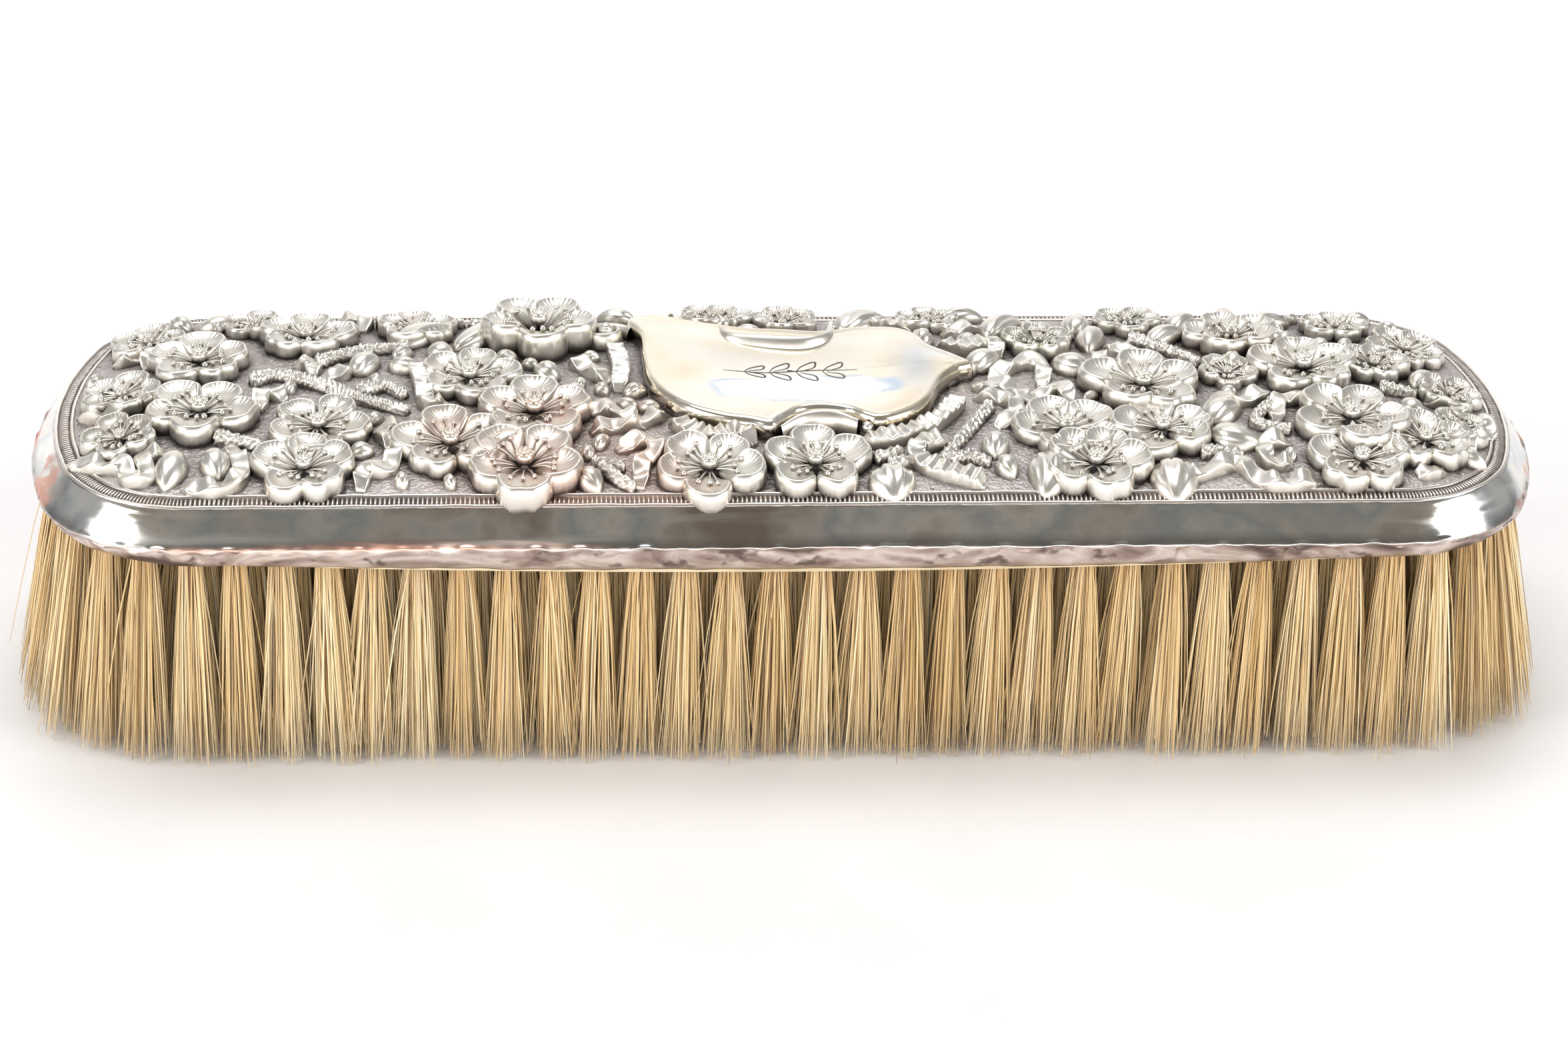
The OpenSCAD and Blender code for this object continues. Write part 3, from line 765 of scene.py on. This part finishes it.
def plaque_painted_reflection(points):
    """Painted reflection on the plaque: how much of the straw-coloured ring lies over the near-white middle,
    and how bluish the plaque is at the ring's border and on its right side.
    """
    x, y = points[:, 0], points[:, 1]
    # painted reflection: an elliptic near-white middle, a straw-coloured ring round it, a bluish border to
    # the ring and a bluish patch on the right
    f = np.hypot((x - 1.5) / 10, (y + 3) / 3.6) + 0.1 * bumps(x, y, 6, 73)
    right = np.exp(-(((x - 15.5) / 2.4) ** 2) - ((y - 2) / 6) ** 2)
    fringe = np.exp(-(((f - 1.08) / 0.1) ** 2)) * smooth(0.6 + 0.5 * bumps(x, y, 7, 74))
    return smooth((f - 0.95) / 0.25), np.clip(0.9 * fringe + 0.6 * right, 0, 0.9)


GAP_ROOMS = [2.7, 2.2, 1.7, 1.3, 1.0]
GAP_TRIES = 1100


def fill_gaps(pile, relief, rng):
    """Small buds and curls where the ground would lie bare."""
    made = 0
    rooms = np.repeat(GAP_ROOMS, GAP_TRIES)
    for room in rooms:
        x, y = rng.uniform(-HALF_L, HALF_L), rng.uniform(-HALF_W, HALF_W)
        if float(inset(x, y)) < 6.2 or not relief.free(x, y, room):
            continue
        turn = rng.uniform(0, math.pi)
        dx, dy = math.cos(turn) * room * 1.15, math.sin(turn) * room * 1.15
        if made % 3 == 2 and room > 1.5:
            bend = rng.uniform(-0.5, 0.5) * room
            add_ribbon(pile, 0, [(x - dx, y - dy), (x - dy * bend, y + dx * bend), (x + dx, y + dy)], rng)
        else:
            share = rng.uniform(0.3, 0.42)
            add_bud(pile, (x - dx, y - dy), (x + dx, y + dy), share, 0.1, 1 + made % 2, rng)
        i, j = relief.cells(np.array([x]), np.array([y]))
        reach = int(0.8 * room / relief.CELL)
        relief.high[i[0] - reach : i[0] + reach + 1, j[0] - reach : j[0] + reach + 1] += 1
        made += 1


def make_relief():
    rng = np.random.default_rng(5)
    groups = [Pile() for _ in range(5)]
    ordered = sorted(BLOSSOMS)
    for i, b in enumerate(ordered):
        add_blossom(groups[i * 5 // len(ordered)], *b, rng)
    ribbons, twigs, buds = Pile(), Pile(), Pile()
    for crimped, points in RIBBONS:
        add_ribbon(ribbons, crimped, points, rng)
    for points in TWIGS:
        add_twig(twigs, points, rng)
    for b in BUDS:
        add_bud(buds, *b, rng)
    plaque, scrolls = make_plaque(), make_scrolls()
    solid = [*groups, ribbons, twigs, buds, plaque, scrolls]
    filler = Pile()
    fill_gaps(filler, Relief(solid), rng)
    relief = Relief([*solid, filler])
    named = {f"blossoms_{i + 1}": g for i, g in enumerate(groups)}
    named |= {"ribbons": ribbons, "twigs": twigs, "buds": buds, "small_leaves": filler}
    return relief, named, plaque, scrolls


# ---------- bristles ----------


def ring_places():
    re, rc = END_R - RING_IN, CORNER_R - RING_IN
    end_arc, corner_arc = re * CORNER_A, rc * (math.pi / 2 - CORNER_A)
    quarter = end_arc + corner_arc + CORNER_X
    n = round(quarter / TUFT_PITCH)
    out = []
    for k in range(n):
        s = (k + 0.5) * quarter / n
        if s < end_arc:
            p = (END_X + re * math.cos(s / re), re * math.sin(s / re))
        elif s < end_arc + corner_arc:
            a = CORNER_A + (s - end_arc) / rc
            p = (CORNER_X + rc * math.cos(a), CORNER_Y + rc * math.sin(a))
        else:
            p = (CORNER_X - (s - end_arc - corner_arc), HALF_W - RING_IN)
        out += [(sx * p[0], sy * p[1]) for sx in (1, -1) for sy in (1, -1)]
    return out


def row_places(i):
    y = (i - (ROWS + 1) / 2) * ROW_PITCH
    d = RING_IN + ROW_GAP
    re, rc = END_R - d, CORNER_R - d
    if abs(y) <= re * math.sin(CORNER_A):
        reach = END_X + math.sqrt(re * re - y * y)
    else:
        reach = CORNER_X + math.sqrt(max(0, rc * rc - (abs(y) - CORNER_Y) ** 2))
    shift = 0 if i % 2 == 1 else 0.5
    n = math.floor(reach / TUFT_PITCH - shift)
    return [((k + shift) * TUFT_PITCH, y) for k in range(int(-n - 2 * shift), n + 1)]


def bristles(name, places, per_tuft, seed, material, node):
    """Tapered three-sided bristles, gathered at the stock and spread at the trimmed tips."""
    rng = np.random.default_rng(seed)
    tufts = len(places)
    n = tufts * per_tuft
    centre = np.repeat(np.array(places), per_tuft, 0)
    lean = END_LEAN * (np.abs(centre[:, 0]) / (HALF_L - RING_IN)) ** 6
    lean = np.radians(lean + np.repeat(rng.normal(0, 0.7, tufts), per_tuft))
    sway = np.repeat(rng.normal(0, 0.011, tufts), per_tuft)
    a = rng.uniform(0, 2 * math.pi, n)
    u = np.sqrt(rng.uniform(0, 1, n))
    off = np.stack([u * np.cos(a), u * np.sin(a)], -1)
    clumps = rng.normal(0, 0.55, (tufts, 6, 2))
    choice = rng.integers(0, 6, n)
    lock = clumps[np.repeat(np.arange(tufts), per_tuft), choice]
    stray = np.where(rng.uniform(0, 1, n) < 0.07, 1.4, 0.42)[:, None]
    spread = TIP_R * (0.74 * off + 0.26 * lock) + rng.normal(0, 1, (n, 2)) * stray
    face = FACE_Z + FACE_RISE * (centre[:, 0] / HALF_L) ** 2
    top = face + 1.0
    short = np.where(rng.uniform(0, 1, n) < 0.16, rng.uniform(0.3, 3.0, n), 0)
    tip = np.abs(rng.normal(0, 0.4, n)) + short
    bow = rng.normal(0, 0.16, (n, 2))
    levels = np.array([0, 0.36, 0.7, 1.0])
    taper = np.array([1.0, 0.95, 0.78, 0.5])
    thick = rng.uniform(0.08, 0.125, n)
    turn = rng.uniform(0, 2 * math.pi, n)
    corners = np.arange(3) * 2 * math.pi / 3
    points = np.zeros((n, 4, 3, 3))
    out = np.sign(centre[:, 0]) * np.tan(lean)
    for k, t in enumerate(levels):
        z = top + (tip - top) * t
        xy = centre + ROOT_R * off * (1 - t) + spread * t**0.86 + bow * math.sin(math.pi * t)
        xy[:, 0] += out * (ROOF_Z - z)
        xy[:, 1] += sway * (ROOF_Z - z)
        for c, corner in enumerate(corners):
            r = thick * taper[k]
            points[:, k, c, 0] = xy[:, 0] + r * np.cos(turn + corner)
            points[:, k, c, 1] = xy[:, 1] + r * np.sin(turn + corner)
            points[:, k, c, 2] = z
    idx = np.arange(n * 12).reshape(n, 4, 3)
    wrap = np.concatenate([idx, idx[:, :, :1]], 2)
    quads = np.stack([wrap[:, 1:, :-1], wrap[:, 1:, 1:], wrap[:, :-1, 1:], wrap[:, :-1, :-1]], -1)
    flat = quads.reshape(-1, 4)
    tris = np.concatenate([flat[:, [0, 1, 2]], flat[:, [0, 2, 3]], idx[:, 3, ::-1]])
    tone = rng.normal(0.5, 0.17, n) - np.where(rng.uniform(0, 1, n) < 0.012, 0.6, 0)
    tuft_tone = np.repeat(rng.normal(0, 0.06, tufts), per_tuft)
    tone = np.repeat(np.clip(tone + tuft_tone, 0, 1), 12)
    along = np.tile(np.repeat(levels, 3), n)
    attributes = {"tone": tone, "along": along}
    return piece(name, points.reshape(-1, 3), tris, material, attributes, [node])


# ---------- materials ----------


class Shader:
    """A node material built a node at a time."""

    def __init__(self, name):
        self.material = bpy.data.materials.new(name)
        self.material.use_nodes = True
        self.tree = self.material.node_tree
        self.bsdf = self.tree.nodes["Principled BSDF"]
        self.place = None

    def add(self, kind, **values):
        node = self.tree.nodes.new(kind)
        for key, value in values.items():
            setattr(node, key, value)
        return node

    def link(self, a, b):
        self.tree.links.new(a, b)

    def attribute(self, name):
        node = self.add("ShaderNodeAttribute", attribute_type="GEOMETRY", attribute_name=name)
        return node.outputs["Fac"]

    def where(self):
        if self.place is None:
            self.place = self.add("ShaderNodeTexCoord").outputs["Object"]
        return self.place

    def noise(self, scale, detail=3.0, stretch=None, distortion=0.0):
        node = self.add("ShaderNodeTexNoise")
        node.inputs["Scale"].default_value = scale
        node.inputs["Detail"].default_value = detail
        node.inputs["Distortion"].default_value = distortion
        source = self.where()
        if stretch:
            mapping = self.add("ShaderNodeMapping")
            mapping.inputs["Scale"].default_value = stretch
            self.link(source, mapping.inputs["Vector"])
            source = mapping.outputs["Vector"]
        self.link(source, node.inputs["Vector"])
        return node.outputs["Fac"]

    def math(self, op, a, b, clamp=False):
        node = self.add("ShaderNodeMath", operation=op, use_clamp=clamp)
        for socket, value in zip(node.inputs, (a, b)):
            if isinstance(value, (int, float)):
                socket.default_value = value
            else:
                self.link(value, socket)
        return node.outputs[0]

    def range(self, value, low, high, to_low, to_high):
        node = self.add("ShaderNodeMapRange")
        for key, number in (("From Min", low), ("From Max", high), ("To Min", to_low), ("To Max", to_high)):
            node.inputs[key].default_value = number
        self.link(value, node.inputs["Value"])
        return node.outputs["Result"]

    def ramp(self, value, stops):
        node = self.add("ShaderNodeValToRGB")
        band = node.color_ramp
        while len(band.elements) < len(stops):
            band.elements.new(0.5)
        for element, (at, colour) in zip(band.elements, stops):
            element.position = at
            element.color = (*colour, 1)
        self.link(value, node.inputs["Fac"])
        return node.outputs["Color"]

    def mix(self, share, a, b):
        node = self.add("ShaderNodeMix", data_type="RGBA")
        self.link(share, node.inputs[0])
        for socket, value in ((node.inputs[6], a), (node.inputs[7], b)):
            if isinstance(value, tuple):
                socket.default_value = (*value, 1)
            else:
                self.link(value, socket)
        return node.outputs[2]

    def bump(self, height, distance, strength=1.0):
        node = self.add("ShaderNodeBump")
        node.inputs["Strength"].default_value = strength
        node.inputs["Distance"].default_value = distance
        self.link(height, node.inputs["Height"])
        self.link(node.outputs["Normal"], self.bsdf.inputs["Normal"])

    def set(self, **sockets):
        for key, value in sockets.items():
            socket = self.bsdf.inputs[key.replace("_", " ")]
            if isinstance(value, (int, float)):
                socket.default_value = value
            else:
                self.link(value, socket)
        return self.material


DEEP = (0.14, 0.125, 0.115)
DULL = (0.44, 0.41, 0.375)
WORN = (0.66, 0.63, 0.575)
BRIGHT = (0.76, 0.735, 0.68)
TWIG_DARKER = 0.14
STRAW = (0.8, 0.77, 0.62)


def relief_silver():
    """Oxidised in the crevices, polished where it stands proud."""
    s = Shader("relief_silver")
    age = s.math("ADD", s.attribute("age"), s.range(s.noise(700, 4), 0, 1, -0.16, 0.16), clamp=True)
    colour = s.ramp(age, [(0.08, DEEP), (0.26, DULL), (0.45, WORN), (0.8, BRIGHT)])
    patch = s.range(s.noise(160, 3), 0.35, 0.65, 0.3, 0.9)
    tint = s.math("MULTIPLY", s.attribute("blush"), patch, clamp=True)
    ruddy = s.ramp(age, [(0.1, (0.09, 0.055, 0.045)), (0.5, (0.52, 0.34, 0.27)), (0.9, (0.88, 0.71, 0.6))])
    colour = s.mix(tint, colour, ruddy)
    film = s.range(s.noise(110, 3, distortion=1.5), 0.5, 0.68, 0, 0.4)
    colour = s.mix(film, colour, s.ramp(age, [(0.2, DEEP), (0.6, (0.46, 0.45, 0.38)), (0.95, STRAW)]))
    s.bump(s.noise(1400, 3), 0.00003, 0.5)
    return s.set(Base_Color=colour, Metallic=1.0, Roughness=s.range(age, 0.15, 0.8, 0.5, 0.33))


def ground_silver():
    """Matte stippled ground between the flowers."""
    s = Shader("ground_silver")
    dots = s.add("ShaderNodeTexVoronoi", feature="F1")
    dots.inputs["Scale"].default_value = 2300
    s.link(s.where(), dots.inputs["Vector"])
    age = s.math("ADD", s.attribute("age"), s.range(s.noise(1500, 3), 0, 1, -0.25, 0.25), clamp=True)
    colour = s.ramp(
        age, [(0.0, (0.13, 0.115, 0.11)), (0.35, (0.42, 0.39, 0.38)), (0.75, (0.66, 0.62, 0.6))]
    )
    tint = s.math("MULTIPLY", s.attribute("blush"), 0.4)
    colour = s.mix(tint, colour, (0.4, 0.25, 0.2))
    s.bump(dots.outputs["Distance"], 0.00012, 0.9)
    return s.set(Base_Color=colour, Metallic=0.85, Roughness=0.5)


def border_silver():
    s = Shader("border_silver")
    age = s.math("ADD", s.attribute("age"), s.range(s.noise(900, 3), 0, 1, -0.2, 0.2), clamp=True)
    colour = s.ramp(age, [(0.2, (0.09, 0.078, 0.07)), (0.5, (0.5, 0.45, 0.42)), (0.8, (0.92, 0.88, 0.82))])
    tint = s.math("MULTIPLY", s.attribute("blush"), 0.45)
    colour = s.mix(tint, colour, (0.7, 0.45, 0.34))
    s.bump(s.noise(2200, 2), 0.00003, 0.5)
    return s.set(Base_Color=colour, Metallic=1.0, Roughness=s.range(age, 0.3, 0.8, 0.45, 0.22))


def band_silver():
    """Plain mirror band with bluish and brown film, copper-red smears and scuffs; a dull pinkish lip."""
    s = Shader("band_silver")
    film = s.noise(85, 8, (0.7, 1, 0.8), 0.15)
    colour = s.ramp(
        film,
        [(0.34, (0.46, 0.38, 0.33)), (0.46, (0.84, 0.8, 0.74)), (0.53, (0.62, 0.66, 0.67)),
         (0.6, (0.97, 0.94, 0.88)), (0.7, (0.6, 0.5, 0.43))],
    )
    drift = s.range(film, 0.3, 0.7, -0.15, 0.15)
    low = s.range(s.math("ADD", s.attribute("edge"), drift), -0.45, -0.12, 0, 0.6)
    colour = s.mix(low, colour, (0.2, 0.19, 0.18))
    scuff = s.range(s.noise(150, 6, (0.12, 1, 2), 0.6), 0.54, 0.68, 0, 1)
    colour = s.mix(s.math("MULTIPLY", scuff, 0.5), colour, (0.95, 0.93, 0.88))
    near_rim = s.range(s.attribute("edge"), -0.75, -0.1, 0, 0.11)
    streak = s.noise(75, 6, (0.16, 1, 1.6), 1.6)
    smear = s.range(s.math("ADD", streak, near_rim), 0.6, 0.67, 0, 0.75)
    colour = s.mix(smear, colour, (0.85, 0.42, 0.3))
    stain = s.ramp(
        s.noise(260, 6, (0.4, 1, 1), 0.8),
        [(0.32, (0.14, 0.1, 0.085)), (0.43, (0.42, 0.32, 0.28)), (0.56, (0.78, 0.67, 0.61)),
         (0.7, (0.4, 0.31, 0.27))],
    )
    pits = s.range(s.noise(520, 3, (0.6, 1, 1)), 0.34, 0.42, 0.8, 0)
    stain = s.mix(pits, stain, (0.12, 0.085, 0.075))
    lip = s.attribute("lip")
    colour = s.mix(lip, colour, stain)
    edge = s.range(s.attribute("edge"), 0.7, 0.95, 0, 0.8)
    colour = s.mix(edge, colour, (0.46, 0.36, 0.27))
    s.bump(s.noise(420, 4, (0.08, 1, 1.6)), 0.00005, 0.4)
    worn = s.math("ADD", s.math("MULTIPLY", scuff, 0.16), s.math("MULTIPLY", smear, 0.3))
    rough = s.math("ADD", s.math("ADD", worn, 0.1), s.math("MULTIPLY", lip, 0.14))
    return s.set(Base_Color=colour, Metallic=1.0, Roughness=rough)


def plaque_silver():
    """Polished plaque with a painted reflection: a near-white middle, a straw-coloured ring round it and a
    bluish border, as the dished plaque reflects its surroundings.
    """
    s = Shader("plaque_silver")
    straw = s.ramp(
        s.noise(70, 4, (0.6, 1, 1), 1.0),
        [(0.35, (0.82, 0.8, 0.74)), (0.5, (0.8, 0.73, 0.6)), (0.62, (0.72, 0.63, 0.48))],
    )
    # painted reflection: near-white middle and straw-coloured ring of the dished plaque
    colour = s.mix(s.attribute("film"), (0.93, 0.93, 0.93), straw)
    # painted reflection: bluish border of the ring and bluish patch on the right
    blue = s.ramp(s.noise(90, 3), [(0.3, (0.3, 0.4, 0.52)), (0.7, (0.52, 0.62, 0.72))])
    colour = s.mix(s.attribute("fringe"), colour, blue)
    edge = s.range(s.attribute("age"), 0.35, 0.62, 1, 0)
    colour = s.mix(edge, colour, (0.42, 0.38, 0.33))
    s.bump(s.noise(300, 4, (0.2, 1, 1)), 0.00002, 0.25)
    return s.set(Base_Color=colour, Metallic=1.0, Roughness=s.range(s.noise(120, 3), 0.3, 0.7, 0.12, 0.2))


def sprig_line():
    s = Shader("engraved_line")
    colour = s.ramp(s.noise(1500, 2), [(0.3, (0.06, 0.05, 0.045)), (0.7, (0.18, 0.16, 0.14))])
    return s.set(Base_Color=colour, Metallic=0.8, Roughness=0.5)


def bristle_hair():
    """Straw-coloured bristle with single pale and brown hairs, darkened towards the root by painted shade.
    """
    s = Shader("bristle_hair")
    tone = s.attribute("tone")
    colour = s.ramp(
        tone,
        [(0.0, (0.24, 0.13, 0.05)), (0.2, (0.6, 0.39, 0.15)), (0.5, (0.78, 0.58, 0.3)),
         (0.8, (0.88, 0.74, 0.48))],
    )
    # painted shade: the hairs turn brown towards the root, where the tufts shade one another
    root = s.range(s.attribute("along"), 0.0, 0.3, 0.5, 0)
    colour = s.mix(root, colour, (0.5, 0.27, 0.09))
    streak = s.range(s.noise(260, 2, (1, 1, 0.1)), 0.35, 0.7, 0.34, 0.5)
    return s.set(Base_Color=colour, Roughness=streak, IOR=1.5, Sheen_Weight=0.15, Coat_Weight=0.1)


def wood():
    s = Shader("stock_wood")
    grain = s.noise(300, 5, (0.06, 1, 1), 0.6)
    colour = s.ramp(
        grain, [(0.3, (0.12, 0.055, 0.022)), (0.55, (0.3, 0.15, 0.06)), (0.75, (0.46, 0.26, 0.12))]
    )
    split = s.add("ShaderNodeSeparateXYZ")
    s.link(s.add("ShaderNodeNewGeometry").outputs["Normal"], split.inputs[0])
    side = s.range(split.outputs["Z"], -0.7, -0.4, 0, 0.85)
    colour = s.mix(side, colour, s.ramp(grain, [(0.3, (0.5, 0.4, 0.24)), (0.7, (0.86, 0.77, 0.56))]))
    s.bump(grain, 0.00008, 0.5)
    return s.set(Base_Color=colour, Roughness=0.5)


def board():
    s = Shader("cover_board")
    grain = s.noise(160, 4, (0.05, 1, 1))
    colour = s.ramp(grain, [(0.3, (0.3, 0.17, 0.08)), (0.7, (0.55, 0.36, 0.19))])
    s.bump(grain, 0.0001, 0.5)
    return s.set(Base_Color=colour, Roughness=0.65)


def pitch():
    s = Shader("pitch")
    grain = s.noise(120, 5)
    colour = s.ramp(grain, [(0.35, (0.012, 0.01, 0.009)), (0.7, (0.05, 0.04, 0.035))])
    s.bump(grain, 0.0002, 0.4)
    return s.set(Base_Color=colour, Roughness=s.range(grain, 0.3, 0.7, 0.2, 0.5))


def brass_wire():
    s = Shader("brass_wire")
    grain = s.noise(800, 3)
    colour = s.ramp(grain, [(0.3, (0.42, 0.27, 0.1)), (0.7, (0.78, 0.56, 0.24))])
    s.bump(grain, 0.00003, 0.4)
    return s.set(Base_Color=colour, Metallic=1.0, Roughness=0.32)


def paint_cad():
    """Materials of the CAD nodes that stay in view or lie inside."""
    coats = {"bristle_stock": wood(), "cover_board": board(), "pitch_filling": pitch()}
    wire = brass_wire()
    for name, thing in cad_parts.items():
        coat = wire if name.startswith("draw_wire") else coats.get(name)
        if coat:
            thing.data.materials.clear()
            thing.data.materials.append(coat)


# ---------- stage ----------

CAMERA_AT = (-0.02765, -0.39185, 0.2252)
CAMERA_RIGHT = (0.99803, -0.05818, 0.0235)
CAMERA_UP = (0.00651, 0.46846, 0.88346)
CAMERA_LENS = 84.2


def make_stage():
    """A pale table that curves up into a backdrop."""
    bend = 0.5
    profile = [(-2.5, 0.0), (-1.0, 0.0), (0.0, 0.0), (0.9, 0.0)]
    for a in np.linspace(0.1, math.pi / 2, 14):
        profile.append((0.9 + bend * math.sin(a), bend - bend * math.cos(a)))
    profile.append((0.9 + bend, 2.4))
    points = np.array([[[x, y, z] for y, z in profile] for x in (-3.0, 3.0)]) * 1000
    pile = Pile()
    pile.grid(points)
    s = Shader("table_paper")
    colour = s.ramp(s.noise(40, 3), [(0.3, (0.77, 0.76, 0.765)), (0.7, (0.81, 0.802, 0.805))])
    paper = s.set(Base_Color=colour, Roughness=0.6)
    mesh = bpy.data.meshes.new("table")
    mesh.from_pydata((pile.all_points() * MM).tolist(), [], pile.all_faces().tolist())
    for face in mesh.polygons:
        face.use_smooth = True
    mesh.materials.append(paper)
    table = bpy.data.objects.new("table", mesh)
    bpy.context.scene.collection.objects.link(table)


def area_light(name, place, target, size, power, colour=(1, 1, 1)):
    light = bpy.data.lights.new(name, "AREA")
    light.shape = "RECTANGLE"
    light.size, light.size_y = size
    light.energy = power
    light.color = colour
    thing = bpy.data.objects.new(name, light)
    thing.location = place
    aim = Vector(target) - Vector(place)
    thing.rotation_euler = aim.to_track_quat("-Z", "Y").to_euler()
    bpy.context.scene.collection.objects.link(thing)


def make_world():
    """A bright tent of light with a dark gap in front and above, where the camera stands."""
    world = bpy.data.worlds.new("tent")
    bpy.context.scene.world = world
    world.use_nodes = True
    tree = world.node_tree
    tree.nodes.clear()
    back = tree.nodes.new("ShaderNodeBackground")
    out = tree.nodes.new("ShaderNodeOutputWorld")
    where = tree.nodes.new("ShaderNodeTexCoord")
    split = tree.nodes.new("ShaderNodeSeparateXYZ")
    tree.links.new(where.outputs["Generated"], split.inputs[0])

    def window(source, low, high):
        node = tree.nodes.new("ShaderNodeMapRange")
        node.interpolation_type = "SMOOTHSTEP"
        node.inputs["From Min"].default_value = low
        node.inputs["From Max"].default_value = high
        tree.links.new(source, node.inputs["Value"])
        return node.outputs["Result"]

    def product(a, b):
        node = tree.nodes.new("ShaderNodeMath")
        node.operation = "MULTIPLY"
        tree.links.new(a, node.inputs[0])
        tree.links.new(b, node.inputs[1])
        return node.outputs[0]

    front = window(split.outputs["Y"], -0.18, -0.42)
    above = window(split.outputs["Z"], 0.3, 0.46)
    below = window(split.outputs["Z"], 0.97, 0.86)
    gap = product(product(front, above), below)
    ramp = tree.nodes.new("ShaderNodeValToRGB")
    ramp.color_ramp.elements[0].color = (0.36, 0.36, 0.36, 1)
    ramp.color_ramp.elements[1].color = (0.25, 0.236, 0.215, 1)
    tree.links.new(gap, ramp.inputs["Fac"])
    tree.links.new(ramp.outputs["Color"], back.inputs["Color"])
    back.inputs["Strength"].default_value = 1.0
    tree.links.new(back.outputs["Background"], out.inputs["Surface"])


def make_camera():
    right, up = Vector(CAMERA_RIGHT), Vector(CAMERA_UP)
    back = right.cross(up)
    camera = bpy.data.cameras.new("camera")
    camera.lens = CAMERA_LENS
    camera.sensor_width = 36
    camera.clip_start = 0.01
    camera.clip_end = 20
    thing = bpy.data.objects.new("camera", camera)
    turn = Matrix((right, up, back)).transposed()
    thing.matrix_world = Matrix.Translation(CAMERA_AT) @ turn.to_4x4()
    bpy.context.scene.collection.objects.link(thing)
    bpy.context.scene.camera = thing


# ---------- putting it together ----------


def silver_pieces():
    relief, named, plaque, scrolls = make_relief()
    shine = relief_silver()

    def aged(name, points, faces, coat, darker=0, **more):
        values = {"age": relief.age(points) - darker, "blush": blush(points), **more}
        piece(name, points, faces, coat, values)

    for name, pile in named.items():
        darker = TWIG_DARKER if name == "twigs" else 0
        aged(name, pile.all_points(), pile.all_faces(), shine, darker)
    # painted reflection of the dished plaque: the near-white middle, the straw-coloured ring and its bluish
    # border
    film, fringe = plaque_painted_reflection(plaque.all_points())
    aged("plaque", plaque.all_points(), plaque.all_faces(), plaque_silver(), film=film, fringe=fringe)
    aged("scrolls", scrolls.all_points(), scrolls.all_faces(), shine)
    sprig = make_sprig()
    piece("engraved_sprig", sprig.all_points(), sprig.all_faces(), sprig_line())
    points, faces = make_ground()
    aged("ground", points, faces, ground_silver())
    border = make_border()
    points = border.all_points()
    lift = points[:, 2] - dome(inset(points[:, 0], points[:, 1]))
    values = {"age": np.clip(0.4 + 3.0 * (lift - 0.06), 0, 1), "blush": blush(points)}
    piece("reeded_border", points, border.all_faces(), border_silver(), values)
    band = make_band()
    points = band.all_points()
    values = {"lip": smooth((RIM_Z + 0.3 - points[:, 2]) / 0.4), "edge": (RIM_Z - points[:, 2]) / LIP_H}
    piece("band_and_lip", points, band.all_faces(), band_silver(), values, ["silver_shell"])


def bristle_pieces():
    hair = bristle_hair()
    bristles("bristles_ring", ring_places(), PER_RING_TUFT, 100, hair, "tufts_ring")
    for i in range(1, ROWS + 1):
        bristles(f"bristles_row_{i}", row_places(i), PER_ROW_TUFT, 100 + i, hair, f"tufts_row_{i}")


silver_pieces()
bristle_pieces()
paint_cad()
make_stage()
make_world()
area_light("left_box", (-0.85, -0.45, 0.42), (0, 0, 0.02), (0.5, 0.5), 5.5)
area_light("right_box", (0.85, -0.45, 0.42), (0, 0, 0.02), (0.5, 0.5), 5.5)
area_light("top_box", (-0.1, 0.2, 1.0), (0, 0, 0.02), (0.9, 0.4), 5)
area_light("backdrop_wash", (0.0, 0.45, 0.9), (0, 1.3, 0.4), (1.6, 0.3), 10)
area_light("front_strip", (0.0, -1.15, 0.17), (0, 0, 0.01), (1.8, 0.26), 10, (1, 0.98, 0.95))
make_camera()
scene = bpy.context.scene
scene.view_settings.view_transform = "Standard"
scene.view_settings.exposure = 0.08
